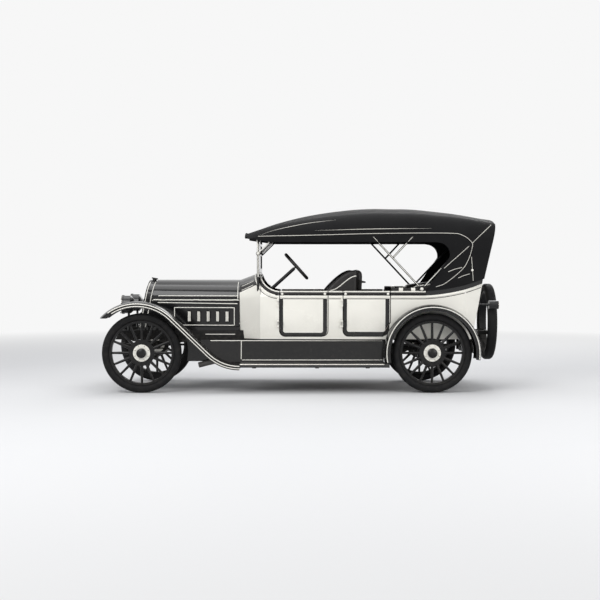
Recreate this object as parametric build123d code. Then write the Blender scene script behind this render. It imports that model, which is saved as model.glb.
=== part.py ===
"""Open touring car of about 1913 with its folding top raised, front towards -X, left side towards -Y."""

from build123d import *
from math import asin, atan2, cos, degrees, radians, sin, sqrt, tan
import os

# Overall layout, in millimetres: the origin is on the ground, halfway along and across the car.
WHEELBASE = 3340
FRONT_OVERHANG = 470
REAR_OVERHANG = 800
TRACK = 1422
FRONT_AXLE_X = -(WHEELBASE + FRONT_OVERHANG + REAR_OVERHANG) / 2 + FRONT_OVERHANG
REAR_AXLE_X = FRONT_AXLE_X + WHEELBASE
FRONT_END_X = FRONT_AXLE_X - FRONT_OVERHANG
REAR_END_X = REAR_AXLE_X + REAR_OVERHANG
FIT = 0.3
SEAT = 0.3
DOOR_GAP = 10

# Wheels: wooden artillery wheels on straight-side tyres.
TYRE_DIAMETER = 914
TYRE_WIDTH = 115
TYRE_HEIGHT = 86
RIM_WIDTH = 72
FELLOE_DEPTH = 26
SPOKES = 16
SPOKE_RADIUS_HUB = 17
SPOKE_RADIUS_RIM = 13
SPOKE_BOSS_RADIUS = 149
SPOKE_BOSS_WIDTH = 44
HUB_FLANGE_RADIUS = 98
HUB_FLANGE_THICKNESS = 9
HUB_BARREL_RADIUS = 46
HUB_INNER_REACH = 42
HUB_CAP_RADIUS = 55
HUB_CAP_REACH = 84
HUB_CAP_DOME = 14
DRUM_LAP = 10
SPINDLE_RADIUS = 22
SPINDLE_CLEARANCE = 0.1
BRAKE_DRUM_RADIUS = 165
BRAKE_DRUM_WIDTH = 34
DRUM_WALL = 8
WHEEL_RADIUS = TYRE_DIAMETER / 2
RIM_RADIUS = WHEEL_RADIUS - TYRE_HEIGHT
FELLOE_RADIUS = RIM_RADIUS - FELLOE_DEPTH

# Ladder frame of pressed channel rails.
FRAME_HALF_WIDTH = 381
RAIL_TOP_Z = 700
RAIL_HEIGHT = 110
RAIL_FLANGE = 44
RAIL_GAUGE = 7
RAIL_PAST_SPRING = 20
CROSS_TUBE_RADIUS = 34
TOW_HOLE_RADIUS = 9
TOW_HOLE_INSET = 30
RAIL_CENTRE_Y = FRAME_HALF_WIDTH - RAIL_FLANGE / 2

# Front axle, steering knuckles and tie rod.
KINGPIN_INSET = 82
KINGPIN_RADIUS = 13
AXLE_EYE_RADIUS = 27
AXLE_EYE_HEIGHT = 64
KNUCKLE_EAR = 16
KNUCKLE_EAR_GAP = 0.5
KNUCKLE_BACK = 10
AXLE_BEAM_HEIGHT = 70
AXLE_BEAM_WIDTH = 48
AXLE_WEB = 16
AXLE_SOLID_END = 80
STEERING_ARM = 150
TIE_ROD_RADIUS = 11
TIE_PIN_RADIUS = 8
TIE_EYE_RADIUS = 20
TIE_EYE_HEIGHT = 24
KINGPIN_Y = TRACK / 2 - KINGPIN_INSET

# Springs, rear axle and drive.
LEAF_WIDTH = 44
LEAVES = 5
LEAF_THICKNESS = 8
FRONT_SPRING_LENGTH = 820
REAR_SPRING_LENGTH = 1080
SPRING_EYE_RADIUS = 18
RAIL_FRONT_X = FRONT_AXLE_X - FRONT_SPRING_LENGTH / 2 - RAIL_PAST_SPRING
RAIL_REAR_X = REAR_AXLE_X + REAR_SPRING_LENGTH / 2 + RAIL_PAST_SPRING
REAR_SPRING_Y = 470
AXLE_TUBE_RADIUS = 42
DIFFERENTIAL_RADIUS = 150
TORQUE_TUBE_RADIUS = 36
TUBE_END_GAP = 2.6

# Sheet metal outside the body.
FENDER_INNER_Y = 625
REAR_FENDER_INNER_Y = 611.1
FENDER_OUTER_Y = 850
FENDER_GAUGE = 6
FENDER_LIP = 68
FENDER_CROWN_RADIUS = 595
FENDER_CROWN_SETBACK = 42
FENDER_SLOPE = 44
FENDER_SWEEP_RADIUS = 480
REAR_FENDER_RADIUS = 560
REAR_FENDER_REAR_DROP = 8
APRON_CLEAR_RADIUS = 500
APRON_BOTTOM_Z = 335
BOARD_TOP_Z = 340
BOARD_THICKNESS = 42
BOARD_INNER_Y = 560
FENDER_PAD_LENGTH = 56
FENDER_PAD_DROP = 1
SPLASH_GAUGE = 6
SPLASH_FOOT_DROP = 30
SPLASH_TOP_Z = 598
SPLASH_TOP_Y = 512

# Radiator and hood.
RADIATOR_RAKE = 11
RADIATOR_HALF_WIDTH = 285
RADIATOR_BASE_Z = 702
RADIATOR_TOP_Z = 1290
RADIATOR_DEPTH = 92
RADIATOR_FRONT_X = FRONT_AXLE_X - 100
SHELL_WALL = 42
HOOD_TOP_Z = 1292
HOOD_HINGE_Z = 1056
HOOD_BOTTOM_Z = 745
HOOD_GAUGE = 8
HOOD_REAR_X = -731
HOOD_REAR_HALF_WIDTH = 382
HOOD_GAP = 6
HOOD_HINGE_RADIUS = 6
LOUVRES = 5
LOUVRE_PITCH = 112
LOUVRE_WIDTH = 24
LOUVRE_HEIGHT = 138
LOUVRE_MIDDLE_Z = 862
LOUVRE_FIRST_X = -1320
LOUVRE_RISE = 14

# Body: a hollow tub with four doors behind a domed cowl.
COWL_FRONT_X = HOOD_REAR_X + HOOD_GAP
COWL_REAR_X = -480
COWL_TOP_Z = 1385
COWL_WALL = 24
BODY_BOTTOM_Z = 605
BODY_BELT_Z = 1100
BODY_RAIL_Z = 1165
BODY_REAR_TOP_Z = 1305
BODY_WALL = 32
BODY_SWEEP_X = 1430
TURN_UNDER = 40
BODY_REAR_X = 2128
BODY_REAR_RAKE = 140
FLOOR_Z = RAIL_TOP_Z + 22
DOOR_BOTTOM_Z = 645
DOOR_CORNER = 62
HINGE_BARREL_RADIUS = 8
HINGE_BARREL_LENGTH = 42
HINGE_STANDOFF = 10
HINGE_GAP = 0.5


def block(x0, x1, y0, y1, z0, z1):
    """A box between two corners."""
    return Pos((x0 + x1) / 2, (y0 + y1) / 2, (z0 + z1) / 2) * Box(x1 - x0, y1 - y0, z1 - z0)


def rod(start, end, radius):
    """A round bar between two points."""
    start, end = Vector(*start), Vector(*end)
    return extrude(Plane(origin=start, z_dir=end - start) * Circle(radius), amount=(end - start).length)


def prism_y(sketch, y0, y1):
    """A sketch drawn in side view (X right, Z up), extruded across the car from y0 to y1."""
    return extrude(Plane.XZ.offset(-y1) * sketch, amount=y1 - y0)


def section_x(sketch, x):
    """A sketch drawn in cross-section (Y right, Z up), placed at a station along the car."""
    return Plane.YZ.offset(x) * sketch


def outline(*edges):
    """A face bounded by edges that meet end to end."""
    return make_face(Curve() + list(edges))


def polygon(*points):
    """A face with straight sides."""
    return make_face(Polyline(*points, close=True))


def right_hand(shape):
    """The mirror image of a left-hand piece."""
    return mirror(shape, about=Plane.XZ)


PARTS = {}


def pair(name, left):
    """Stores a left-hand piece and its right-hand twin as two nodes."""
    PARTS[name + "_left"] = left
    PARTS[name + "_right"] = right_hand(left)


def both_sides(name, left):
    """Stores a left-hand piece and its right-hand twin as two solids of one node."""
    PARTS[name] = Compound(children=[left, right_hand(left)])


# Wheels: tyre, wooden wheel and steel hub, turning about Y.
def ring(r0, r1, y0, y1):
    """A plain ring about Y."""
    return revolve(polygon((r0, y0), (r1, y0), (r1, y1), (r0, y1)), axis=Axis.Y)


def dome(radius, base, tip):
    """Arc of a ball-shaped end, from its edge at a radius to its tip on the Y axis."""
    rise = abs(tip - base)
    ball = (radius**2 + rise**2) / (2 * rise)
    half_angle = asin(radius / ball) / 2
    inward = ball * (1 - cos(half_angle)) * (1 if base > tip else -1)
    return ThreePointArc((radius, base), (ball * sin(half_angle), tip + inward), (0, tip))


def tyre():
    middle = (WHEEL_RADIUS + RIM_RADIUS + FIT) / 2
    height = WHEEL_RADIUS - RIM_RADIUS - FIT
    shoulder = 0.46 * height
    return revolve(Pos(middle, 0) * RectangleRounded(height, TYRE_WIDTH, shoulder), axis=Axis.Y)


def wooden_wheel():
    wheel = ring(FELLOE_RADIUS, RIM_RADIUS, -RIM_WIDTH / 2, RIM_WIDTH / 2)
    half = SPOKE_BOSS_WIDTH / 2
    wheel += ring(HUB_BARREL_RADIUS + FIT, SPOKE_BOSS_RADIUS, -half, half)
    length = FELLOE_RADIUS - SPOKE_BOSS_RADIUS + 2 * DRUM_WALL
    reach = SPOKE_BOSS_RADIUS - DRUM_WALL + length / 2
    for index in range(SPOKES):
        spoke = Cone(SPOKE_RADIUS_HUB, SPOKE_RADIUS_RIM, length)
        wheel += Rot(0, index * 360 / SPOKES, 0) * Pos(0, 0, reach) * spoke
    return wheel


def steel_hub(with_drum):
    """Barrel, two flanges that clamp the spokes and a cap; the outer end is towards -Y."""
    half = SPOKE_BOSS_WIDTH / 2 + FIT
    outer = half + HUB_FLANGE_THICKNESS
    hub = ring(0, HUB_BARREL_RADIUS, -outer, HUB_INNER_REACH)
    hub += ring(0, HUB_FLANGE_RADIUS, -outer, -half)
    hub += ring(0, HUB_FLANGE_RADIUS, half, outer)
    rim = -HUB_CAP_REACH + HUB_CAP_DOME
    cap = outline(
        Line((0, -outer), (HUB_CAP_RADIUS, -outer)),
        Line((HUB_CAP_RADIUS, -outer), (HUB_CAP_RADIUS, rim)),
        dome(HUB_CAP_RADIUS, rim, -HUB_CAP_REACH),
        Line((0, -HUB_CAP_REACH), (0, -outer)),
    )
    hub += revolve(cap, axis=Axis.Y)
    if with_drum:
        hub += ring(HUB_FLANGE_RADIUS - DRUM_LAP, BRAKE_DRUM_RADIUS, outer - FIT, outer + DRUM_WALL)
        hub += ring(BRAKE_DRUM_RADIUS - DRUM_WALL, BRAKE_DRUM_RADIUS, outer, outer + BRAKE_DRUM_WIDTH)
    bore = SPINDLE_RADIUS + SPINDLE_CLEARANCE
    return hub - ring(0, bore, -outer, HUB_INNER_REACH + 1)


WHEELS = (("front", FRONT_AXLE_X, False), ("rear", REAR_AXLE_X, True))
for name, axle_x, with_drum in WHEELS:
    place = Pos(axle_x, -TRACK / 2, WHEEL_RADIUS)
    pair(f"tyre_{name}", place * tyre())
    pair(f"wheel_{name}", place * wooden_wheel())
    pair(f"hub_{name}", place * steel_hub(with_drum))


# Chassis: channel rails open inwards, joined by round cross members.
def frame_rail():
    y0 = -FRAME_HALF_WIDTH
    bottom = RAIL_TOP_Z - RAIL_HEIGHT
    rail = block(RAIL_FRONT_X, RAIL_REAR_X, y0, y0 + RAIL_FLANGE, bottom, RAIL_TOP_Z)
    hollow = block(
        RAIL_FRONT_X + RAIL_GAUGE, RAIL_REAR_X - RAIL_GAUGE, y0 + RAIL_GAUGE, y0 + RAIL_FLANGE + 1,
        bottom + RAIL_GAUGE, RAIL_TOP_Z - RAIL_GAUGE,
    )
    hole = Pos(RAIL_FRONT_X + TOW_HOLE_INSET, -RAIL_CENTRE_Y, RAIL_TOP_Z)
    return rail - hollow - hole * Cylinder(TOW_HOLE_RADIUS, 3 * RAIL_GAUGE)


CROSS_MEMBERS = (RAIL_FRONT_X + 60, FRONT_AXLE_X + 1600, REAR_AXLE_X - 620, RAIL_REAR_X - 60)
frame = frame_rail() + right_hand(frame_rail())
RAIL_MIDDLE_Z = RAIL_TOP_Z - RAIL_HEIGHT / 2
inner_face = FRAME_HALF_WIDTH - RAIL_GAUGE
for x in CROSS_MEMBERS:
    frame += rod((x, -inner_face, RAIL_MIDDLE_Z), (x, inner_face, RAIL_MIDDLE_Z), CROSS_TUBE_RADIUS)


# Front axle: an I-beam with an eye at each end for the kingpin.
def front_axle():
    z = WHEEL_RADIUS
    reach = KINGPIN_Y
    beam = block(
        FRONT_AXLE_X - AXLE_BEAM_WIDTH / 2, FRONT_AXLE_X + AXLE_BEAM_WIDTH / 2, -reach, reach,
        z - AXLE_BEAM_HEIGHT / 2, z + AXLE_BEAM_HEIGHT / 2,
    )
    groove = AXLE_BEAM_HEIGHT - 2 * AXLE_WEB
    for side in (-1, 1):
        edge = FRONT_AXLE_X + side * AXLE_BEAM_WIDTH / 2
        beam -= Pos(edge, 0, z) * Box(AXLE_BEAM_WIDTH - AXLE_WEB, 2 * (reach - AXLE_SOLID_END), groove)
    for side in (-1, 1):
        at = Pos(FRONT_AXLE_X, side * KINGPIN_Y, z)
        fork_room = AXLE_EYE_RADIUS + KNUCKLE_EAR
        beam -= at * Cylinder(fork_room, AXLE_BEAM_HEIGHT + 2)
        beam += at * Cylinder(AXLE_EYE_RADIUS, AXLE_EYE_HEIGHT)
        neck = side * (KINGPIN_Y - fork_room / 2 - AXLE_EYE_RADIUS / 4)
        beam += Pos(FRONT_AXLE_X, neck, z) * Box(0.7 * AXLE_EYE_RADIUS, fork_room, AXLE_EYE_HEIGHT / 2)
        beam -= at * Cylinder(KINGPIN_RADIUS + SPINDLE_CLEARANCE, AXLE_EYE_HEIGHT + 2)
    return beam


def knuckle():
    """Fork round the axle's eye with its kingpin, the wheel spindle and the steering arm, left hand."""
    at = Pos(FRONT_AXLE_X, -KINGPIN_Y, WHEEL_RADIUS)
    ear_z = AXLE_EYE_HEIGHT / 2 + KNUCKLE_EAR_GAP + KNUCKLE_EAR / 2
    body = Cylinder(KINGPIN_RADIUS, 2 * ear_z)
    for side in (-1, 1):
        body += Pos(0, 0, side * ear_z) * Cylinder(AXLE_EYE_RADIUS, KNUCKLE_EAR)
        web = AXLE_EYE_RADIUS + KNUCKLE_BACK
        body += Pos(0, -web / 2, side * ear_z) * Box(1.6 * AXLE_EYE_RADIUS, web, KNUCKLE_EAR)
    back = AXLE_EYE_RADIUS + 1
    tall = 2 * ear_z + KNUCKLE_EAR
    body += Pos(0, -back - KNUCKLE_BACK / 2, 0) * Box(1.6 * AXLE_EYE_RADIUS, KNUCKLE_BACK, tall)
    spindle_end = KINGPIN_INSET + SPOKE_BOSS_WIDTH / 2
    body += Pos(0, -(back + spindle_end) / 2, 0) * Rot(90, 0, 0) * Cylinder(SPINDLE_RADIUS, spindle_end - back)
    arm_z = -ear_z
    body += Pos(STEERING_ARM / 2, 0, arm_z) * Box(STEERING_ARM, AXLE_EYE_RADIUS, KNUCKLE_EAR)
    body += Pos(STEERING_ARM, 0, arm_z) * Cylinder(TIE_EYE_RADIUS, KNUCKLE_EAR)
    pin_top = arm_z - KNUCKLE_EAR / 2
    body += Pos(STEERING_ARM, 0, pin_top - TIE_EYE_HEIGHT / 2) * Cylinder(TIE_PIN_RADIUS, TIE_EYE_HEIGHT)
    return at * body


TIE_Z = (
    WHEEL_RADIUS - AXLE_EYE_HEIGHT / 2 - KNUCKLE_EAR_GAP - KNUCKLE_EAR
    - KNUCKLE_EAR_GAP - TIE_EYE_HEIGHT / 2
)
TIE_X = FRONT_AXLE_X + STEERING_ARM


def tie_rod():
    bar = rod((TIE_X, -KINGPIN_Y, TIE_Z), (TIE_X, KINGPIN_Y, TIE_Z), TIE_ROD_RADIUS)
    for side in (-1, 1):
        at = Pos(TIE_X, side * KINGPIN_Y, TIE_Z)
        bar += at * Cylinder(TIE_EYE_RADIUS, TIE_EYE_HEIGHT)
        bar -= at * Cylinder(TIE_PIN_RADIUS + SPINDLE_CLEARANCE, TIE_EYE_HEIGHT + 2)
    return bar


PARTS["frame"] = frame
PARTS["front_axle"] = front_axle()
pair("knuckle", knuckle())
PARTS["tie_rod"] = tie_rod()


# Leaf springs: a stack of bowed leaves, each shorter than the one above, with an eye at each end.
def leaf_spring(centre_x, y, length, seat_z, eye_z):
    """The main leaf bows from the two eyes down to the axle seat."""
    spring = None
    pack = LEAVES * LEAF_THICKNESS
    rise = eye_z - seat_z - pack
    for index in range(LEAVES):
        share = 1 - index / (LEAVES + 0.6)
        half = length / 2 * share
        top = seat_z + pack - index * LEAF_THICKNESS
        lift = rise * share**2
        bow = ThreePointArc((centre_x - half, top + lift), (centre_x, top), (centre_x + half, top + lift))
        under = ThreePointArc(
            (centre_x + half, top + lift - LEAF_THICKNESS),
            (centre_x, top - LEAF_THICKNESS),
            (centre_x - half, top + lift - LEAF_THICKNESS),
        )
        leaf = outline(bow, Line(bow @ 1, under @ 0), under, Line(under @ 1, bow @ 0))
        solid = prism_y(leaf, y - LEAF_WIDTH / 2, y + LEAF_WIDTH / 2)
        spring = solid if spring is None else spring + solid
    for end in (-1, 1):
        at = Pos(centre_x + end * length / 2, y, eye_z)
        spring += at * Rot(90, 0, 0) * Cylinder(SPRING_EYE_RADIUS, LEAF_WIDTH)
    return spring


SPRING_EYE_Z = RAIL_TOP_Z - RAIL_HEIGHT - SPRING_EYE_RADIUS - SEAT
both_sides(
    "front_springs",
    leaf_spring(
        FRONT_AXLE_X, -RAIL_CENTRE_Y, FRONT_SPRING_LENGTH,
        WHEEL_RADIUS + AXLE_BEAM_HEIGHT / 2 + SEAT, SPRING_EYE_Z,
    ),
)
both_sides(
    "rear_springs",
    leaf_spring(
        REAR_AXLE_X, -REAR_SPRING_Y, REAR_SPRING_LENGTH,
        WHEEL_RADIUS + AXLE_TUBE_RADIUS + SEAT, SPRING_EYE_Z,
    ),
)
for end in (-1, 1):
    hanger_x = REAR_AXLE_X + end * REAR_SPRING_LENGTH / 2
    for side in (-1, 1):
        outer = side * (REAR_SPRING_Y + LEAF_WIDTH / 2)
        z = RAIL_TOP_Z - RAIL_HEIGHT + SPRING_EYE_RADIUS
        PARTS["frame"] += rod((hanger_x, side * inner_face, z), (hanger_x, outer, z), SPRING_EYE_RADIUS)


def rear_axle():
    """Axle tubes and a banjo differential with the torque tube running forward to the gearbox."""
    z = WHEEL_RADIUS
    tube_end = TRACK / 2 - SPOKE_BOSS_WIDTH / 2 - HUB_FLANGE_THICKNESS - BRAKE_DRUM_WIDTH - 12
    axle = rod((REAR_AXLE_X, -tube_end, z), (REAR_AXLE_X, tube_end, z), AXLE_TUBE_RADIUS)
    spindle_end = TRACK / 2 + SPOKE_BOSS_WIDTH / 2
    axle += rod((REAR_AXLE_X, -spindle_end, z), (REAR_AXLE_X, spindle_end, z), SPINDLE_RADIUS)
    axle += Pos(REAR_AXLE_X, 0, z) * Sphere(DIFFERENTIAL_RADIUS)
    return axle + rod((REAR_AXLE_X, 0, z), (GEARBOX_REAR_X + TUBE_END_GAP, 0, GEARBOX_Z), TORQUE_TUBE_RADIUS)


# Engine and gearbox, one plain block each end to end, hung between the rails.
ENGINE_BEHIND_AXLE = 135
ENGINE_TO_DASH = 150
ENGINE_FRONT_X = FRONT_AXLE_X + ENGINE_BEHIND_AXLE
ENGINE_REAR_X = COWL_FRONT_X - ENGINE_TO_DASH
ENGINE_HALF_WIDTH = 170
ENGINE_TOP_Z = 1090
ENGINE_BOTTOM_Z = 545
GEARBOX_REAR_X = -330
GEARBOX_HALF_WIDTH = 130
GEARBOX_TOP_Z = 660
GEARBOX_BOTTOM_Z = 470
GEARBOX_Z = (GEARBOX_TOP_Z + GEARBOX_BOTTOM_Z) / 2
engine = block(
    ENGINE_FRONT_X, ENGINE_REAR_X, -ENGINE_HALF_WIDTH, ENGINE_HALF_WIDTH, ENGINE_BOTTOM_Z, ENGINE_TOP_Z,
)
engine += block(
    ENGINE_REAR_X - 1, GEARBOX_REAR_X, -GEARBOX_HALF_WIDTH, GEARBOX_HALF_WIDTH,
    GEARBOX_BOTTOM_Z, GEARBOX_TOP_Z,
)
ENGINE_ARM = 40
ENGINE_ARM_INSET = 75
for x in (ENGINE_FRONT_X + ENGINE_ARM_INSET, ENGINE_REAR_X - ENGINE_ARM_INSET):
    engine += Pos(x, 0, RAIL_MIDDLE_Z) * Box(ENGINE_ARM, 2 * (inner_face - SEAT), ENGINE_ARM)
PARTS["engine"] = engine
PARTS["rear_axle"] = rear_axle()


# Body shape: half-widths of the tub at the belt, by station along the car.
STATIONS = (
    # x, half-width at the belt, half-width at the top of the section
    (COWL_REAR_X, 562, 440),
    (1040, 615, 606),
    (1900, 604, 588),
    (BODY_REAR_X + 10, 470, 440),
)
SECTION_TOP_Z = 1345
SIDE_BULGE = 8


def belt_half_width(x):
    """Half-width at the belt, between the two nearest stations."""
    for (x0, w0, _), (x1, w1, _) in zip(STATIONS, STATIONS[1:]):
        if x <= x1:
            return w0 + (w1 - w0) * (x - x0) / (x1 - x0)
    return STATIONS[-1][1]


def side_half_width(x, z):
    """Half-width of the curved body side at a height between sill and belt."""
    below = (BODY_BELT_Z - z) / (BODY_BELT_Z - BODY_BOTTOM_Z)
    return belt_half_width(x) + (TURN_UNDER - 4 * SIDE_BULGE) * below * (1 - below) - TURN_UNDER * below**2


def tub_section(half, top_half, inset, bottom):
    """One cross-section of the tub: flat bottom, bulging sides that turn under, straight upper part."""
    belt, low, high = half - inset, half - TURN_UNDER - inset, top_half - inset
    middle = (belt - SIDE_BULGE, (BODY_BOTTOM_Z + BODY_BELT_Z) / 2)
    right = [
        Line((low, bottom), (low, BODY_BOTTOM_Z)) if bottom < BODY_BOTTOM_Z else None,
        ThreePointArc((low, BODY_BOTTOM_Z), middle, (belt, BODY_BELT_Z)),
        Line((belt, BODY_BELT_Z), (high, SECTION_TOP_Z)),
    ]
    left = [
        Line((-high, SECTION_TOP_Z), (-belt, BODY_BELT_Z)),
        ThreePointArc((-belt, BODY_BELT_Z), (-middle[0], middle[1]), (-low, BODY_BOTTOM_Z)),
        Line((-low, BODY_BOTTOM_Z), (-low, bottom)) if bottom < BODY_BOTTOM_Z else None,
    ]
    across = [Line((high, SECTION_TOP_Z), (-high, SECTION_TOP_Z))]
    under = [Line((-low, bottom), (low, bottom))]
    return outline(*[edge for edge in right + across + left + under if edge])


def tub_volume(inset, bottom):
    """The space inside the tub's sections, taken in by a wall's thickness."""
    sections = [section_x(tub_section(w, top, inset, bottom), x) for x, w, top in STATIONS]
    return loft(sections, ruled=True)


COAMING_RADIUS = 232
SWEEP_END_X = BODY_REAR_X
REAR_SLOPE = BODY_REAR_RAKE / (BODY_REAR_TOP_Z - BODY_BOTTOM_Z)


def side_profile(inset, bottom):
    """Side view of the tub: raked back, rail, upswept rear and the curve up to the windshield."""
    rail_front = COWL_REAR_X + COAMING_RADIUS
    top_front = BODY_RAIL_Z + COAMING_RADIUS
    back_top = BODY_REAR_X - inset
    back_low = back_top - REAR_SLOPE * (BODY_REAR_TOP_Z - bottom)
    start = COWL_REAR_X + SEAT if inset == 0 else COWL_REAR_X - 60
    lift = 1 if inset == 0 else 400
    quarter = COAMING_RADIUS * (1 - sqrt(0.5))
    sweep_mid = (
        (BODY_SWEEP_X + back_top) / 2,
        BODY_RAIL_Z + (BODY_REAR_TOP_Z - BODY_RAIL_Z) * 0.30,
    )
    if inset:
        return polygon(
            (start, bottom), (back_low, bottom), (back_top + REAR_SLOPE * lift, BODY_REAR_TOP_Z + lift),
            (start, BODY_REAR_TOP_Z + lift),
        )
    return outline(
        Line((start, bottom), (back_low, bottom)),
        Line((back_low, bottom), (back_top, BODY_REAR_TOP_Z)),
        ThreePointArc((back_top, BODY_REAR_TOP_Z), sweep_mid, (BODY_SWEEP_X, BODY_RAIL_Z)),
        Line((BODY_SWEEP_X, BODY_RAIL_Z), (rail_front, BODY_RAIL_Z)),
        ThreePointArc(
            (rail_front, BODY_RAIL_Z),
            (COWL_REAR_X + quarter, BODY_RAIL_Z + quarter),
            (start, top_front - 2),
        ),
        Line((start, top_front - 2), (start, bottom)),
    )


WIDE = 1000
shell = tub_volume(0, BODY_BOTTOM_Z) & prism_y(side_profile(0, BODY_BOTTOM_Z), -WIDE, WIDE)
inside = tub_volume(BODY_WALL, BODY_BOTTOM_Z - 20)
inside &= prism_y(side_profile(BODY_WALL, BODY_BOTTOM_Z - 20), -WIDE, WIDE)
shell -= inside

# Doors: cut out of the tub's own wall; the rear ones are trimmed round the fender.
DOORS = (
    # name, front edge, rear edge
    ("front", -246, 306),
    ("rear", 489, 1028),
)
DOOR_HINGE_HEIGHTS = (790, 1028)


def door_profile(x0, x1, grow):
    """Side view of a door with rounded lower corners, open at the top."""
    face = Pos((x0 + x1) / 2, (DOOR_BOTTOM_Z + SECTION_TOP_Z) / 2) * Rectangle(
        x1 - x0 + 2 * grow, SECTION_TOP_Z - DOOR_BOTTOM_Z + 2 * grow
    )
    low = face.vertices().sort_by(Axis.Y)[0:2]
    face = fillet(low, DOOR_CORNER + grow)
    clear = REAR_FENDER_RADIUS + 3 * DOOR_GAP - grow
    return face - Pos(REAR_AXLE_X, WHEEL_RADIUS) * Circle(clear)


def hinge_axis(x0):
    """Where a left door's vertical hinge axis stands, just outside the body side."""
    return x0 - DOOR_GAP / 2, -(belt_half_width(x0) + HINGE_STANDOFF)


def barrel(x, y, z0, z1, toward, wall_y):
    """A hinge knuckle on its axis with the leaf that ties it to the panel."""
    leaf_x0, leaf_x1 = sorted((x, x + toward))
    leaf = block(leaf_x0, leaf_x1, y - 3, wall_y + 6, z0, z1)
    return Pos(x, y, (z0 + z1) / 2) * Cylinder(HINGE_BARREL_RADIUS, z1 - z0) + leaf


for name, x0, x1 in DOORS:
    cut = prism_y(door_profile(x0, x1, DOOR_GAP), -WIDE, WIDE)
    leaf = prism_y(door_profile(x0, x1, 0), -WIDE, 0)
    door = shell & leaf
    shell -= cut
    x, y = hinge_axis(x0)
    clearance = HINGE_BARREL_RADIUS + 4
    for z in DOOR_HINGE_HEIGHTS:
        half = HINGE_BARREL_LENGTH / 2
        wall_y = -side_half_width(x0, z)
        notch = block(x - clearance, x + clearance, y - 20, y + clearance, z - 3 * half, z + 3 * half)
        door = door - notch + barrel(x, y, z - half, z + half, 34, wall_y)
        for z0, z1 in ((z - 2 * half, z - half - HINGE_GAP), (z + half + HINGE_GAP, z + 2 * half)):
            body_leaf = barrel(x, y, z0, z1, -34, wall_y)
            shell += body_leaf + right_hand(body_leaf)
    pair(f"door_{name}", door)
rail_room = FRAME_HALF_WIDTH + SEAT
shell -= block(BODY_REAR_X - 300, BODY_REAR_X, -rail_room, rail_room, 0, RAIL_TOP_Z + SEAT)
PARTS["body_tub"] = shell

# Floor with the two seat risers, standing on the frame rails.
FRONT_SEAT = (150, 575)
REAR_SEAT = (1270, 1735)
SEAT_RISER_Z = 925
RISER_INSET = 60
RISER_WALL = 20
floor_slab = tub_volume(BODY_WALL + SEAT, BODY_BOTTOM_Z - 20)
floor_slab &= block(COWL_REAR_X + SEAT, BODY_REAR_X - 240, -WIDE, WIDE, RAIL_TOP_Z + SEAT, FLOOR_Z)
floor = floor_slab
for x0, x1 in (FRONT_SEAT, REAR_SEAT):
    half = side_half_width(x0, SEAT_RISER_Z) - BODY_WALL - RISER_INSET
    floor += block(x0, x1, -half, half, FLOOR_Z - 1, SEAT_RISER_Z)
    inner = half - RISER_WALL
    floor -= block(x0 + RISER_WALL, x1 + 1, -inner, inner, FLOOR_Z, SEAT_RISER_Z - RISER_WALL)
PARTS["floor"] = floor


# Cowl: a domed shell from the hood to the windshield, closed in front by the dash wall.
def arch(half, shoulder_z, top_z, bottom_z, inset):
    """Cross-section of hood and cowl: upright sides, rounded shoulders and a gently crowned top."""
    w, top = half - inset, top_z - inset
    flat = 0.64 * w
    flat_z = top - 0.21 * (top_z - shoulder_z)
    round_mid = (0.925 * w, shoulder_z + 0.60 * (flat_z - shoulder_z))
    low = w - (TURN_UNDER if bottom_z < HOOD_BOTTOM_Z - 100 else 0)
    return [
        Line((-low, bottom_z), (-w, shoulder_z)),
        ThreePointArc((-w, shoulder_z), (-round_mid[0], round_mid[1]), (-flat, flat_z)),
        ThreePointArc((-flat, flat_z), (0, top), (flat, flat_z)),
        ThreePointArc((flat, flat_z), round_mid, (w, shoulder_z)),
        Line((w, shoulder_z), (low, bottom_z)),
    ]


def closed_arch(half, shoulder_z, top_z, bottom_z, inset):
    edges = arch(half, shoulder_z, top_z, bottom_z, inset)
    return outline(*edges, Line(edges[-1] @ 1, edges[0] @ 0))


COWL_SECTIONS = (
    # x, half-width, shoulder, top
    (COWL_FRONT_X, HOOD_REAR_HALF_WIDTH, HOOD_HINGE_Z, HOOD_TOP_Z),
    (COWL_REAR_X, STATIONS[0][1], BODY_BELT_Z, COWL_TOP_Z),
)
DASH_WALL = 20


def cowl():
    solid = loft(
        [section_x(closed_arch(w, sh, top, BODY_BOTTOM_Z, 0), x) for x, w, sh, top in COWL_SECTIONS], ruled=True
    )
    hollow = loft(
        [section_x(closed_arch(w, sh, top, BODY_BOTTOM_Z - 1, COWL_WALL), x) for x, w, sh, top in COWL_SECTIONS],
        ruled=True,
    )
    dash = block(COWL_FRONT_X - 1, COWL_FRONT_X + DASH_WALL, -WIDE, WIDE, RAIL_TOP_Z + SEAT, COWL_TOP_Z)
    solid -= hollow - dash
    notch = FRAME_HALF_WIDTH + SEAT
    return solid - block(COWL_FRONT_X - 1, COWL_REAR_X + 1, -notch, notch, 0, RAIL_TOP_Z + SEAT)


# Hood: a fixed crowned top and a hinged louvred panel on each side.
def front_of_hood(gap):
    """Everything in front of the raked plane behind the radiator."""
    base_x = RADIATOR_FRONT_X + RADIATOR_DEPTH + gap
    return Pos(base_x, 0, RADIATOR_BASE_Z) * Rot(0, RADIATOR_RAKE, 0) * Pos(-400, 0, 0) * Box(800, 2000, 3000)


HOOD_SECTIONS = (
    (RADIATOR_FRONT_X, RADIATOR_HALF_WIDTH),
    (HOOD_REAR_X, HOOD_REAR_HALF_WIDTH),
)


def hood_half_width(x):
    (x0, w0), (x1, w1) = HOOD_SECTIONS
    return w0 + (w1 - w0) * (x - x0) / (x1 - x0)


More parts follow.
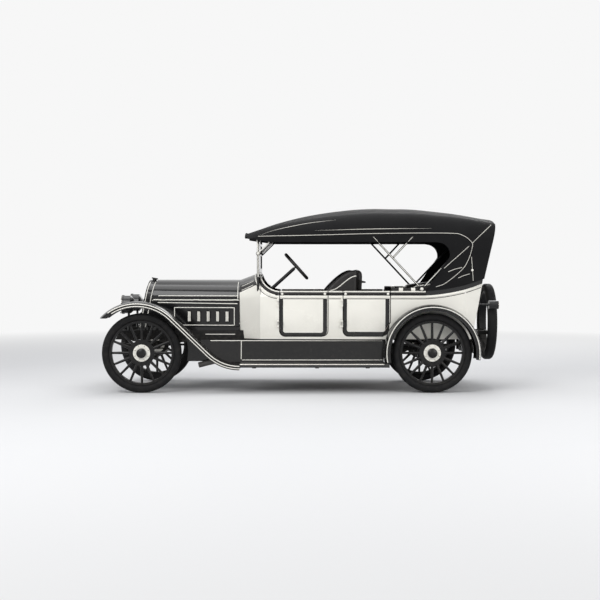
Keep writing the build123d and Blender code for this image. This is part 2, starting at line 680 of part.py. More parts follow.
HOOD_KNUCKLES = (-1720, -1245, -770)
HOOD_KNUCKLE_HALF = 30
HOOD_TAPER = -degrees(atan2(HOOD_SECTIONS[1][1] - HOOD_SECTIONS[0][1], HOOD_SECTIONS[1][0] - HOOD_SECTIONS[0][0]))


def hood_barrel(x0, x1):
    """A length of the left hinge barrel, along the shoulder of the hood."""
    return rod(
        (x0, -hood_half_width(x0), HOOD_HINGE_Z), (x1, -hood_half_width(x1), HOOD_HINGE_Z), HOOD_HINGE_RADIUS
    )


def hood_top():
    low = HOOD_HINGE_Z + HOOD_HINGE_RADIUS + 3
    rear_x = COWL_FRONT_X - SEAT
    sections = []
    for x, w in (HOOD_SECTIONS[0], (rear_x, hood_half_width(rear_x))):
        over = arch(w, HOOD_HINGE_Z, HOOD_TOP_Z, low - 12, 0)[1:4]
        under = arch(w, HOOD_HINGE_Z, HOOD_TOP_Z, low - 12, HOOD_GAUGE)[1:4]
        face = outline(*over, Line(over[-1] @ 1, under[-1] @ 1), *under, Line(under[0] @ 0, over[0] @ 0))
        sections.append(section_x(face, x))
    top = loft(sections, ruled=True) - block(-WIDE * 3, 0, -WIDE, WIDE, 0, low)
    for x in HOOD_KNUCKLES:
        knuckle = hood_barrel(x - HOOD_KNUCKLE_HALF, x + HOOD_KNUCKLE_HALF)
        leaf = Pos(0, HOOD_GAUGE / 2, 9) * Box(2 * HOOD_KNUCKLE_HALF, HOOD_GAUGE, 16)
        knuckle += Pos(x, -hood_half_width(x), HOOD_HINGE_Z) * Rot(0, 0, HOOD_TAPER) * leaf
        top += knuckle + right_hand(knuckle)
    return top - front_of_hood(SEAT)


def hood_side():
    """Left side panel with its hinge barrel and a row of raised louvres with open slots."""
    sections = []
    for x, w in HOOD_SECTIONS:
        sections.append(
            section_x(
                polygon(
                    (-w, HOOD_BOTTOM_Z), (-w + HOOD_GAUGE, HOOD_BOTTOM_Z),
                    (-w + HOOD_GAUGE, HOOD_HINGE_Z - 2), (-w, HOOD_HINGE_Z - 2),
                ),
                x,
            )
        )
    panel = loft(sections, ruled=True)
    reach = HOOD_KNUCKLE_HALF + HINGE_GAP
    for x in HOOD_KNUCKLES:
        room = Box(2 * reach, 6 * HOOD_GAUGE, 2 * (HOOD_HINGE_RADIUS + HOOD_GAP))
        panel -= Pos(x, -hood_half_width(x), HOOD_HINGE_Z) * Rot(0, 0, HOOD_TAPER) * room
    for x0, x1 in zip(HOOD_KNUCKLES, HOOD_KNUCKLES[1:]):
        panel += hood_barrel(x0 + reach, x1 - reach)
    middle_z = LOUVRE_MIDDLE_Z
    for index in range(LOUVRES):
        x = LOUVRE_FIRST_X + index * LOUVRE_PITCH
        y = -hood_half_width(x)
        place = Pos(x, y, middle_z) * Rot(0, 0, HOOD_TAPER)
        blister = outline(
            Line((-LOUVRE_WIDTH, HOOD_GAUGE / 2), (LOUVRE_WIDTH / 2, HOOD_GAUGE / 2)),
            Line((LOUVRE_WIDTH / 2, HOOD_GAUGE / 2), (LOUVRE_WIDTH / 2, -LOUVRE_RISE)),
            ThreePointArc(
                (LOUVRE_WIDTH / 2, -LOUVRE_RISE), (-LOUVRE_WIDTH / 3, -0.6 * LOUVRE_RISE), (-LOUVRE_WIDTH, 0)
            ),
            Line((-LOUVRE_WIDTH, 0), (-LOUVRE_WIDTH, HOOD_GAUGE / 2)),
        )
        low = Pos(0, 0, -LOUVRE_HEIGHT / 2)
        panel += place * low * extrude(blister, amount=LOUVRE_HEIGHT)
        slot = Pos(0, (HOOD_GAUGE - LOUVRE_RISE) / 2, 0) * Box(
            LOUVRE_WIDTH, HOOD_GAUGE + LOUVRE_RISE + 2, LOUVRE_HEIGHT - 12
        )
        panel -= place * Pos(LOUVRE_WIDTH * 0.55, 3, 0) * slot
    return panel - front_of_hood(HOOD_GAP)


PARTS["cowl"] = cowl()
PARTS["hood_top"] = hood_top()
pair("hood_side", hood_side())


# Radiator: a raked shell with the core set into it and a filler cap, standing on a tray across the rails.
TRAY_THICKNESS = 14
CORE_SET_BACK = 14
FILLER_RADIUS = 26
FILLER_CAP_RADIUS = 38


def radiator(face, depth, start):
    """A cross-section extruded backwards and leaned back with the radiator."""
    solid = extrude(section_x(face, 0), amount=depth)
    return Pos(RADIATOR_FRONT_X, 0, RADIATOR_BASE_Z) * Rot(0, RADIATOR_RAKE, 0) * Pos(start, 0, -RADIATOR_BASE_Z) * solid


def radiator_shell():
    rise = (RADIATOR_TOP_Z - RADIATOR_BASE_Z) / cos(radians(RADIATOR_RAKE))
    top = RADIATOR_BASE_Z + rise
    shell = radiator(closed_arch(RADIATOR_HALF_WIDTH, HOOD_HINGE_Z, top, RADIATOR_BASE_Z, 0), RADIATOR_DEPTH, 0)
    window = closed_arch(
        RADIATOR_HALF_WIDTH, HOOD_HINGE_Z, top - SHELL_WALL, RADIATOR_BASE_Z + SHELL_WALL, SHELL_WALL
    )
    shell -= radiator(window, RADIATOR_DEPTH + 2, -1)
    base = RADIATOR_BASE_Z
    tray = block(
        RADIATOR_FRONT_X, RADIATOR_FRONT_X + RADIATOR_DEPTH, -FRAME_HALF_WIDTH, FRAME_HALF_WIDTH,
        RAIL_TOP_Z + SEAT, base + TRAY_THICKNESS,
    )
    filler = Pos(RADIATOR_DEPTH / 2, 0, top - base) * (
        Cylinder(FILLER_RADIUS, 40) + Pos(0, 0, 26) * Cylinder(FILLER_CAP_RADIUS, 16)
    )
    return shell + tray + Pos(RADIATOR_FRONT_X, 0, base) * Rot(0, RADIATOR_RAKE, 0) * filler


def radiator_core():
    top = RADIATOR_BASE_Z + (RADIATOR_TOP_Z - RADIATOR_BASE_Z) / cos(radians(RADIATOR_RAKE))
    face = closed_arch(
        RADIATOR_HALF_WIDTH, HOOD_HINGE_Z, top - SHELL_WALL, RADIATOR_BASE_Z + SHELL_WALL + SEAT, SHELL_WALL + SEAT
    )
    return radiator(face, RADIATOR_DEPTH - 2 * CORE_SET_BACK, CORE_SET_BACK)


PARTS["radiator_shell"] = radiator_shell()
PARTS["radiator_core"] = radiator_core()
SILL_TOP_Z = HOOD_BOTTOM_Z - HOOD_GAP
sill_front_x = RADIATOR_FRONT_X + RADIATOR_DEPTH + 3 * HOOD_GAP
sill_plan = polygon(
    (sill_front_x, -hood_half_width(sill_front_x) + 20),
    (sill_front_x, -FRAME_HALF_WIDTH),
    (HOOD_REAR_X, -FRAME_HALF_WIDTH),
    (HOOD_REAR_X, -hood_half_width(HOOD_REAR_X) + 30),
)
both_sides("hood_sills", Pos(0, 0, RAIL_TOP_Z + SEAT) * extrude(sill_plan, amount=SILL_TOP_Z - RAIL_TOP_Z - SEAT))


# Fenders: one crowned section, swept over the front wheel down to the board and revolved over the rear wheel.
FENDER_CROWN = 24


def fender_section(inner_y):
    """Crowned sheet with a turned-down lip along both edges, drawn across the car (X) and outwards (Y)."""
    half = (FENDER_OUTER_Y - inner_y) / 2
    sheet = half - FENDER_GAUGE
    return outline(
        Line((-half, -FENDER_LIP), (-half, -FENDER_CROWN)),
        ThreePointArc((-half, -FENDER_CROWN), (0, 0), (half, -FENDER_CROWN)),
        Line((half, -FENDER_CROWN), (half, -FENDER_LIP)),
        Line((half, -FENDER_LIP), (sheet, -FENDER_LIP)),
        Line((sheet, -FENDER_LIP), (sheet, -FENDER_CROWN - FENDER_GAUGE)),
        ThreePointArc(
            (sheet, -FENDER_CROWN - FENDER_GAUGE), (0, -FENDER_GAUGE), (-sheet, -FENDER_CROWN - FENDER_GAUGE)
        ),
        Line((-sheet, -FENDER_CROWN - FENDER_GAUGE), (-sheet, -FENDER_LIP)),
        Line((-sheet, -FENDER_LIP), (-half, -FENDER_LIP)),
    )


def across(point, travel):
    """Plane at a point of the side view, facing along the fender, with its Y axis outwards."""
    return Plane(origin=(point[0], 0, point[1]), x_dir=(0, 1, 0), z_dir=(travel[0], 0, travel[1]))


slope = radians(FENDER_SLOPE)
crown_x = FRONT_AXLE_X - FENDER_CROWN_SETBACK
tip_angle = asin((FRONT_END_X - crown_x) / FENDER_CROWN_RADIUS)


def on_crown(angle, radius):
    return crown_x + radius * sin(angle), WHEEL_RADIUS + radius * cos(angle)


fender_tip = on_crown(tip_angle, FENDER_CROWN_RADIUS)
slope_start = on_crown(slope, FENDER_CROWN_RADIUS)
sweep_drop = FENDER_SWEEP_RADIUS * (1 - cos(slope))
slope_run = (slope_start[1] - BOARD_TOP_Z - sweep_drop) / tan(slope)
slope_end = (slope_start[0] + slope_run, BOARD_TOP_Z + sweep_drop)
fender_end_x = slope_end[0] + FENDER_SWEEP_RADIUS * sin(slope)
sweep_middle = (
    fender_end_x - FENDER_SWEEP_RADIUS * sin(slope / 2),
    BOARD_TOP_Z + FENDER_SWEEP_RADIUS * (1 - cos(slope / 2)),
)
WEB_DROP = 36
FENDER_TIP_Z = 858
APRON_Y = FRAME_HALF_WIDTH + SEAT


def front_fender():
    """Left front fender with the flat web and upright apron that close it against the frame."""
    middle_y = -(FENDER_INNER_Y + FENDER_OUTER_Y) / 2

    def at(point):
        return Vector(point[0], middle_y, point[1])

    down = [
        Line(at(slope_start), at(slope_end)),
        ThreePointArc(at(slope_end), at(sweep_middle), at((fender_end_x, BOARD_TOP_Z))),
    ]
    crown = ThreePointArc(at(fender_tip), at(on_crown(0, FENDER_CROWN_RADIUS)), at(slope_start))
    start = across(fender_tip, (cos(tip_angle), -sin(tip_angle)))
    fender = sweep(start * Pos(middle_y, 0) * fender_section(FENDER_INNER_Y), Curve() + [crown] + down)
    fender -= block(FRONT_END_X - 1, FRONT_AXLE_X - WHEEL_RADIUS / 2, -WIDE, 0, 0, FENDER_TIP_Z)
    web_plane = across(slope_start, (cos(slope), -sin(slope)))
    web_width = FENDER_INNER_Y + FENDER_GAUGE / 2 - APRON_Y
    web_middle = -(FENDER_INNER_Y + FENDER_GAUGE / 2 + APRON_Y) / 2
    web = web_plane * Pos(web_middle, -WEB_DROP - FENDER_GAUGE / 2) * Rectangle(web_width, FENDER_GAUGE)
    fender += sweep(web, Curve() + down)
    drop_x, drop_z = (WEB_DROP + FENDER_GAUGE / 2) * sin(slope), (WEB_DROP + FENDER_GAUGE / 2) * cos(slope)
    top = (slope_start[0] - drop_x, slope_start[1] - drop_z)
    foot_x = top[0] + (top[1] - APRON_BOTTOM_Z) / tan(slope)
    apron = polygon(top, (foot_x, APRON_BOTTOM_Z), (FRONT_AXLE_X, APRON_BOTTOM_Z), (FRONT_AXLE_X, top[1]))
    apron -= Pos(FRONT_AXLE_X, WHEEL_RADIUS) * Circle(APRON_CLEAR_RADIUS)
    plate = prism_y(apron, -APRON_Y - FENDER_GAUGE, -APRON_Y)
    fender += plate.solids().sort_by(Axis.X)[-1]
    hood_room = HOOD_BOTTOM_Z - 2 * HOOD_GAP
    return fender - block(FRONT_END_X, 0, -FENDER_INNER_Y, 0, hood_room, 2 * hood_room)


def rear_fender():
    """Left rear fender, revolved over the wheel from its seat on the running board."""
    lean = asin((WHEEL_RADIUS - BOARD_TOP_Z + FENDER_PAD_DROP - SEAT) / REAR_FENDER_RADIUS)
    start = (REAR_AXLE_X - REAR_FENDER_RADIUS * cos(lean), WHEEL_RADIUS - REAR_FENDER_RADIUS * sin(lean))
    middle_y = -(REAR_FENDER_INNER_Y + FENDER_OUTER_Y) / 2
    face = across(start, (-sin(lean), cos(lean))) * Pos(middle_y, 0) * fender_section(REAR_FENDER_INNER_Y)
    turn = 180 + degrees(lean) + REAR_FENDER_REAR_DROP
    return revolve(face, axis=Axis((REAR_AXLE_X, 0, WHEEL_RADIUS), (0, 1, 0)), revolution_arc=turn)


pair("fender_front", front_fender())
pair("fender_rear", rear_fender())

# Running boards on brackets from the frame, and the splash aprons between board and body.
BOARD_REAR_X = 1007
BRACKETS = (-540, 180, 760)
BRACKET_WIDTH = 44
BRACKET_GAUGE = 12
BRACKET_REACH = 800
board_bottom = BOARD_TOP_Z - BOARD_THICKNESS
board = block(fender_end_x + SEAT, BOARD_REAR_X, -FENDER_OUTER_Y, -BOARD_INNER_Y, board_bottom, BOARD_TOP_Z)
pad_x, pad_z = BOARD_REAR_X - FENDER_PAD_LENGTH, BOARD_TOP_Z - FENDER_PAD_DROP
board -= block(pad_x, BOARD_REAR_X + 1, -FENDER_OUTER_Y - 1, -BOARD_INNER_Y + 1, pad_z, BOARD_TOP_Z + 1)
for x in BRACKETS:
    x0, x1 = x - BRACKET_WIDTH / 2, x + BRACKET_WIDTH / 2
    board += block(x0, x1, -APRON_Y - BRACKET_GAUGE, -APRON_Y, board_bottom - BRACKET_GAUGE, RAIL_TOP_Z)
    board += block(x0, x1, -BRACKET_REACH, -APRON_Y, board_bottom - BRACKET_GAUGE, board_bottom + 1)
both_sides("running_boards", board)
web_depth = WEB_DROP - SEAT
web_line = [(x - web_depth * sin(slope), z - web_depth * cos(slope)) for x, z in (slope_start, slope_end)]
web_end = (fender_end_x, BOARD_TOP_Z - web_depth)
web_radius = FENDER_SWEEP_RADIUS + web_depth
web_bend = (
    fender_end_x - web_radius * sin(slope / 2),
    BOARD_TOP_Z + FENDER_SWEEP_RADIUS - web_radius * cos(slope / 2),
)
under_web = outline(
    Line(*web_line),
    ThreePointArc(web_line[1], web_bend, web_end),
    Line(web_end, (fender_end_x, 0)),
    Line((fender_end_x, 0), (web_line[0][0], 0)),
    Line((web_line[0][0], 0), web_line[0]),
)
SPLASH_FRONT_X = web_line[0][0] + (web_line[0][1] - SPLASH_TOP_Z) / tan(slope) + BOARD_THICKNESS
splash_y = -BOARD_INNER_Y + SEAT
splash_foot = BOARD_TOP_Z - SPLASH_FOOT_DROP
splash = section_x(
    polygon(
        (splash_y, splash_foot), (splash_y + SPLASH_GAUGE, splash_foot), (splash_y + SPLASH_GAUGE, BOARD_TOP_Z),
        (-SPLASH_TOP_Y, SPLASH_TOP_Z), (-SPLASH_TOP_Y - SPLASH_GAUGE, SPLASH_TOP_Z), (splash_y, BOARD_TOP_Z),
    ),
    SPLASH_FRONT_X,
)
SPLASH_REAR_X = 960
both_sides("splash_aprons", extrude(splash, amount=SPLASH_REAR_X - SPLASH_FRONT_X) - prism_y(under_web, -WIDE, 0))

# Windshield: a wooden board scribed to the cowl with a two-pane frame above it.
SCREEN_FRONT_X = COWL_REAR_X - 36
SCREEN_REAR_X = COWL_REAR_X - 10
SCREEN_HALF_WIDTH = 536
SCREEN_TOP_Z = 1722
SCREEN_STILE = 30
PANES = ((1424, 1578), (1604, 1694))
GLASS_THICKNESS = 6
cowl_solid = loft(
    [
        section_x(closed_arch(w, sh, top, BODY_BOTTOM_Z, -SEAT), x)
        for x, w, sh, top in COWL_SECTIONS
    ],
    ruled=True,
)
screen = block(
    SCREEN_FRONT_X, SCREEN_REAR_X, -SCREEN_HALF_WIDTH, SCREEN_HALF_WIDTH, BODY_RAIL_Z, SCREEN_TOP_Z
)
screen -= cowl_solid
glass = []
pane_half = SCREEN_HALF_WIDTH - SCREEN_STILE
glass_x = (SCREEN_FRONT_X + SCREEN_REAR_X) / 2
for z0, z1 in PANES:
    screen -= block(SCREEN_FRONT_X - 1, SCREEN_REAR_X + 1, -pane_half, pane_half, z0, z1)
    half = pane_half - FIT
    glass.append(
        block(glass_x - GLASS_THICKNESS / 2, glass_x + GLASS_THICKNESS / 2, -half, half, z0 + FIT, z1 - FIT)
    )
PARTS["windshield_frame"] = screen
PARTS["windshield_glass"] = Compound(children=glass)


# Seats: a cushion on each riser and a back with raised side wings.
SEAT_SIDE_GAP = 8
CUSHION_HEIGHT = 120
WING_WIDTH = 70


front_half = side_half_width(FRONT_SEAT[0], FLOOR_Z) - BODY_WALL - SEAT_SIDE_GAP
rear_half = side_half_width(REAR_SEAT[0], BODY_BELT_Z) - BODY_WALL - 2 * SEAT_SIDE_GAP
cushion_bottom = SEAT_RISER_Z + SEAT
cushion_top = cushion_bottom + CUSHION_HEIGHT
FRONT_BACK_TOP_Z = 1416
REAR_BACK_TOP_Z = 1395
BACK_THICKNESS = 115


def back_profile(foot_x, lean, roll_width, roll_rise, top_z):
    """Side view of a seat back that leans rearward and ends in a rounded roll."""
    foot, roll_z = FLOOR_Z + SEAT, top_z - roll_rise
    rear_x = foot_x + BACK_THICKNESS + lean
    front_x = rear_x - roll_width
    return outline(
        Line((foot_x, foot), (foot_x + BACK_THICKNESS, foot)),
        Line((foot_x + BACK_THICKNESS, foot), (rear_x, roll_z)),
        ThreePointArc((rear_x, roll_z), ((rear_x + front_x) / 2, top_z), (front_x, roll_z)),
        Line((front_x, roll_z), (foot_x, foot)),
    )


front_profile = back_profile(FRONT_SEAT[1] + SEAT, 26, 104, 30, FRONT_BACK_TOP_Z)
front_wing = outline(
    Line((250, cushion_top + SEAT), (640, cushion_top + SEAT)),
    Line((640, cushion_top + SEAT), (650, FRONT_BACK_TOP_Z - 12)),
    Line((650, FRONT_BACK_TOP_Z - 12), (580, FRONT_BACK_TOP_Z - 12)),
    ThreePointArc((580, FRONT_BACK_TOP_Z - 12), (440, 1320), (330, 1215)),
    ThreePointArc((330, 1215), (268, 1150), (250, cushion_top + SEAT)),
)
back = prism_y(front_profile, -front_half, front_half)
wing = prism_y(front_wing, -front_half, -front_half + WING_WIDTH)
cushion = block(FRONT_SEAT[0], FRONT_SEAT[1] - 1, -front_half, front_half, cushion_bottom, cushion_top)
PARTS["front_seat"] = back + wing + right_hand(wing) + (cushion - back) + block(
    FRONT_SEAT[1] - 30, FRONT_SEAT[1] + 20, -front_half, front_half, cushion_bottom, cushion_top
)
rear_back_x = REAR_SEAT[1] + SEAT
rear_profile = back_profile(rear_back_x, 130, 130, 60, REAR_BACK_TOP_Z)
rear_wing = outline(
    Line((1290, cushion_top + SEAT), (1840, cushion_top + SEAT)),
    Line((1840, cushion_top + SEAT), (1900, REAR_BACK_TOP_Z - 40)),
    ThreePointArc((1900, REAR_BACK_TOP_Z - 40), (1660, 1270), (1330, 1228)),
    ThreePointArc((1330, 1228), (1285, 1180), (1290, cushion_top + SEAT)),
)
REAR_SEAT_HALF = 468
back = prism_y(rear_profile, -REAR_SEAT_HALF, REAR_SEAT_HALF)
wing = prism_y(rear_wing, -rear_half, -rear_half + 2 * WING_WIDTH)
wing -= block(1800, 2100, -rear_half - 1, -REAR_SEAT_HALF, 0, 2000)
cushion = block(REAR_SEAT[0], REAR_SEAT[1] + 20, -rear_half, rear_half, cushion_bottom, cushion_top)
PARTS["rear_seat"] = back + wing + right_hand(wing) + cushion


# Folding top, raised: canvas over bows, with closed rear quarters and back.
TOP_CANVAS = 12
TOP_STATIONS = (
    # x, half-width at the shoulder, half-width low down, shoulder, crest
    (-640, 612, 600, 1772, 1835),
    (-500, 622, 606, 1784, 1892),
    (-257, 632, 612, 1800, 1976),
    (105, 640, 620, 1818, 2066),
    (500, 640, 620, 1836, 2122),
    (835, 640, 620, 1848, 2143),
    (1282, 640, 612, 1850, 2138),
    (1680, 638, 596, 1842, 2103),
    (1960, 618, 560, 1822, 2060),
    (2290, 530, 430, 1790, 2006),
)
TOP_SKIRT_Z = 1140
VALANCE_Z = 1730
BACK_TOP = (2290, 2006)
BACK_FOOT = (2136, BODY_REAR_TOP_Z)


def top_section(half, low, shoulder, crest, inset):
    """Cross-section of the canvas: leaning sides, rounded shoulders and a crowned roof."""
    w, foot, top = half - inset, low - inset, crest - inset
    flat = 0.66 * w
    flat_z = top - 0.20 * (crest - shoulder)
    bend = (0.925 * w, shoulder + 0.62 * (flat_z - shoulder))
    return outline(
        Line((-foot, TOP_SKIRT_Z), (-w, shoulder)),
        ThreePointArc((-w, shoulder), (-bend[0], bend[1]), (-flat, flat_z)),
        ThreePointArc((-flat, flat_z), (0, top), (flat, flat_z)),
        ThreePointArc((flat, flat_z), bend, (w, shoulder)),
        Line((w, shoulder), (foot, TOP_SKIRT_Z)),
        Line((foot, TOP_SKIRT_Z), (-foot, TOP_SKIRT_Z)),
    )


def top_volume(inset):
    return loft([section_x(top_section(*rest, inset), x) for x, *rest in TOP_STATIONS], ruled=True)


def behind_back(inset):
    """Everything behind the raked back panel."""
    lean = (BACK_TOP[0] - BACK_FOOT[0]) / (BACK_TOP[1] - BACK_FOOT[1])
    low, high = TOP_SKIRT_Z - 100, 2400
    foot = BACK_FOOT[0] - inset + lean * (low - BACK_FOOT[1])
    head = BACK_FOOT[0] - inset + lean * (high - BACK_FOOT[1])
    return prism_y(polygon((foot, low), (3000, low), (3000, high), (head, high)), -WIDE, WIDE)


def canopy():
    side_openings = outline(
        Line((-900, 1774), (-640, 1774)),
        Line((-640, 1774), (-340, VALANCE_Z)),
        Line((-340, VALANCE_Z), (1560, VALANCE_Z)),
        ThreePointArc((1560, VALANCE_Z), (1688, 1672), (1716, 1560)),
        Line((1716, 1560), (1456, 1190)),
        Line((1456, 1190), (1456, 1000)),
        Line((1456, 1000), (-900, 1000)),
        Line((-900, 1000), (-900, 1774)),
    )
    hollow = top_volume(TOP_CANVAS) - behind_back(TOP_CANVAS)
    hollow += block(-700, -600, -TOP_STATIONS[0][1] + TOP_CANVAS, TOP_STATIONS[0][1] - TOP_CANVAS, 1000, 1770)
    canvas = top_volume(0) - behind_back(0) - hollow
    canvas -= prism_y(side_openings, -WIDE, WIDE)
    return canvas - Pos(SEAT, 0, SEAT) * prism_y(side_profile(0, BODY_BOTTOM_Z), -WIDE, WIDE)


# Top irons: bows under the canvas, carried by bars from a pivot on each side rail.
IRON_RADIUS = 11
IRON_Y = 594
BOW_DEPTH = 22
BOW_WIDTH = 24
PIVOT = (1395, BODY_RAIL_Z + 24)
PIVOT_FOOT = (60, 28)
BOWS = (835, 1282, 1960)
BOW_FOOT_Z = 1780
IRON_TOP_Z = 1790
BOW_IRON_Y = 600
REAR_IRON_Y = 572
FORK_SHARE = 0.6
CREST_X = 1000
SCREEN_BOW_X = -500
SCREEN_POST_Y = 520
SCREEN_BOW_Y = 588
SCREEN_BOW_Z = 1788
SCREEN_POST_TOP_Z = 1822


def bow(x, low_z):
    """An arched bow that follows the inside of the canvas at one station."""
    rest = [row[1:] for row in TOP_STATIONS if row[0] == x][0]
    arched = top_section(*rest, TOP_CANVAS + 1) - top_section(*rest, TOP_CANVAS + 1 + BOW_DEPTH)
    solid = extrude(section_x(arched, x), amount=BOW_WIDTH if x < CREST_X else -BOW_WIDTH)
    return solid - block(x - 100, x + 100, -WIDE, WIDE, 1000, low_z)


def top_irons():
    front_x, middle_x, rear_x = BOWS
    irons = sum((bow(x, BOW_FOOT_Z) for x in BOWS[1:]), bow(front_x, BOW_FOOT_Z))
    for side in (-1, 1):
        pivot = Vector(PIVOT[0], side * IRON_Y, PIVOT[1])
        front = Vector(front_x, side * BOW_IRON_Y, IRON_TOP_Z)
        fork = pivot + (front - pivot) * FORK_SHARE
        irons += rod(pivot, front, IRON_RADIUS)
        irons += rod(fork, (middle_x, side * BOW_IRON_Y, IRON_TOP_Z), IRON_RADIUS)
        irons += rod(pivot, (rear_x, side * REAR_IRON_Y, IRON_TOP_Z), IRON_RADIUS)
        foot_height = PIVOT[1] - BODY_RAIL_Z - SEAT
        foot = Box(*PIVOT_FOOT, foot_height, align=(Align.CENTER, Align.CENTER, Align.MAX))
        irons += Pos(pivot) * foot
    front = bow(SCREEN_BOW_X, SCREEN_BOW_Z - BOW_WIDTH)
    for side in (-1, 1):
        post = (SCREEN_BOW_X, side * SCREEN_POST_Y)
        front += rod((*post, SCREEN_TOP_Z + SEAT), (*post, SCREEN_POST_TOP_Z), IRON_RADIUS)
        front += rod((*post, SCREEN_BOW_Z), (SCREEN_BOW_X, side * SCREEN_BOW_Y, SCREEN_BOW_Z), IRON_RADIUS)
    return Compound(children=[irons, front])


PARTS["top_canopy"] = canopy()
PARTS["top_irons"] = top_irons()

# Spare tyre on a demountable rim, carried upright behind the body from the frame's tail.
SPARE_X = REAR_END_X - TYRE_WIDTH / 2
SPARE_Z = 786
spare_place = Pos(SPARE_X, 0, SPARE_Z) * Rot(0, 0, 90)
PARTS["spare_tyre"] = spare_place * tyre()
carrier = spare_place * ring(FELLOE_RADIUS, RIM_RADIUS, -RIM_WIDTH / 2, RIM_WIDTH / 2)
STRUT_Z = (640, 684)
STRUT_REACH = FELLOE_RADIUS + 5
CARRIER_PLATE = 24
CARRIER_PLATE_Z = (610, 690)
CARRIER_ARMS = (150, 194)
carrier += block(SPARE_X - CARRIER_PLATE, SPARE_X, -STRUT_REACH, STRUT_REACH, *STRUT_Z)
carrier -= Pos(SPARE_X, 0, SPARE_Z) * Rot(0, 90, 0) * Cylinder(WHEEL_RADIUS, 200) - (
    Pos(SPARE_X, 0, SPARE_Z) * Rot(0, 90, 0) * Cylinder(RIM_RADIUS, 202)
)
for side in (-1, 1):
    y0, y1 = sorted(side * y for y in CARRIER_ARMS)
    carrier += block(RAIL_REAR_X + SEAT, SPARE_X, y0, y1, *STRUT_Z)
plate_x0, plate_x1 = RAIL_REAR_X + SEAT, RAIL_REAR_X + CARRIER_PLATE
carrier += block(plate_x0, plate_x1, -FRAME_HALF_WIDTH, FRAME_HALF_WIDTH, *CARRIER_PLATE_Z)
PARTS["spare_carrier"] = carrier

# Fuel tank: a drum with domed ends, strapped up under the carrier's plate.
TANK_RADIUS = 92
TANK_HALF_LENGTH = 300
TANK_DOME = 18
TANK_CENTRE = (2088, 504)
TANK_STRAPS = (-170, 170)
TANK_STRAP_WIDTH = 34
TANK_STRAP_GAUGE = 4
tank_profile = outline(
    Line((0, -TANK_HALF_LENGTH - TANK_DOME), (0, TANK_HALF_LENGTH + TANK_DOME)),
    dome(TANK_RADIUS, TANK_HALF_LENGTH, TANK_HALF_LENGTH + TANK_DOME),
    Line((TANK_RADIUS, TANK_HALF_LENGTH), (TANK_RADIUS, -TANK_HALF_LENGTH)),
    dome(TANK_RADIUS, -TANK_HALF_LENGTH, -TANK_HALF_LENGTH - TANK_DOME),
)
tank = revolve(tank_profile, axis=Axis.Y)
for y in TANK_STRAPS:
    edge = TANK_STRAP_WIDTH / 2
    tank += ring(0, TANK_RADIUS + TANK_STRAP_GAUGE, y - edge, y + edge)
tank = Pos(TANK_CENTRE[0], 0, TANK_CENTRE[1]) * tank
for y in TANK_STRAPS:
    edge = TANK_STRAP_WIDTH / 2
    tank += block(plate_x0, plate_x1, y - edge, y + edge, TANK_CENTRE[1], CARRIER_PLATE_Z[0] - SEAT)
PARTS["fuel_tank"] = tank

# Lamps.
HEADLAMP = (-2035, -360, 1003)
HEADLAMP_RADIUS = 112
HEADLAMP_DEPTH = 150
LAMP_POST_RADIUS = 14
LAMP_RIM = (22, 8)
TAIL_LAMP = (2240, -524, 1004)
TAIL_LAMP_RADIUS = 50
TAIL_LAMP_DEPTH = 110


def headlamp():
    """Drum with a domed back, a rim round the lens and a post down to the frame rail."""
    x, y, z = HEADLAMP
    half, rim = HEADLAMP_DEPTH / 2, HEADLAMP_RADIUS
    rim_end, drum, dome_start = LAMP_RIM[0] - half, rim - LAMP_RIM[1], 0.35 * half
    shape = outline(
        Line((0, -half), (rim, -half)),
        Line((rim, -half), (rim, rim_end)),
        Line((rim, rim_end), (drum, rim_end)),
        Line((drum, rim_end), (drum, dome_start)),
        dome(drum, dome_start, half),
        Line((0, half), (0, -half)),
    )
    lamp = Pos(x, y, z) * Rot(0, 0, -90) * revolve(shape, axis=Axis.Y)
    return lamp + rod((x, y, RAIL_TOP_Z + SEAT), (x, y, z), LAMP_POST_RADIUS)


def tail_lamp():
    x, y, z = TAIL_LAMP
    drum = Pos(x, y, z) * Rot(0, 90, 0) * Cylinder(TAIL_LAMP_RADIUS, TAIL_LAMP_DEPTH)
    arm = rod((x - 230, y + 60, z), (x, y, z), LAMP_POST_RADIUS)
    return drum + (arm - Pos(SEAT, 0, 0) * prism_y(side_profile(0, BODY_BOTTOM_Z), -WIDE, WIDE))


both_sides("headlamps", headlamp())
PARTS["tail_lamp"] = tail_lamp()

# Steering wheel and column, left-hand drive.
STEERING_Y = -310
STEERING_CENTRE = (-57, STEERING_Y, 1452)
COLUMN_ANGLE = 42
COLUMN_RADIUS = 20
STEERING_BOX_AHEAD = 123
SHAFT_RADIUS = 10
STEERING_RADIUS = 200
STEERING_RIM = 15
STEERING_SPOKES = 4
STEERING_SPOKE = (24, 10)
STEERING_BOSS = (30, 36)
SHAFT_IN_COLUMN = 60
up = Vector(cos(radians(COLUMN_ANGLE)), 0, sin(radians(COLUMN_ANGLE)))
column_plane = Plane(origin=STEERING_CENTRE, x_dir=(0, 1, 0), z_dir=up)
COLUMN_TOP = -34
steering_run = STEERING_CENTRE[0] - COWL_FRONT_X + STEERING_BOX_AHEAD
column_length = steering_run / cos(radians(COLUMN_ANGLE)) + COLUMN_TOP


def steering_wheel():
    wheel = Torus(STEERING_RADIUS - STEERING_RIM, STEERING_RIM)
    wheel += Cylinder(*STEERING_BOSS)
    for index in range(STEERING_SPOKES):
        length = STEERING_RADIUS - STEERING_RIM
        spoke = Pos(length / 2, 0, 0) * Box(length, *STEERING_SPOKE)
        wheel += Rot(0, 0, 45 + index * 360 / STEERING_SPOKES) * spoke
    reach = -COLUMN_TOP + SHAFT_IN_COLUMN
    wheel += Pos(0, 0, -reach / 2) * Cylinder(SHAFT_RADIUS, reach)
    return column_plane.location * wheel


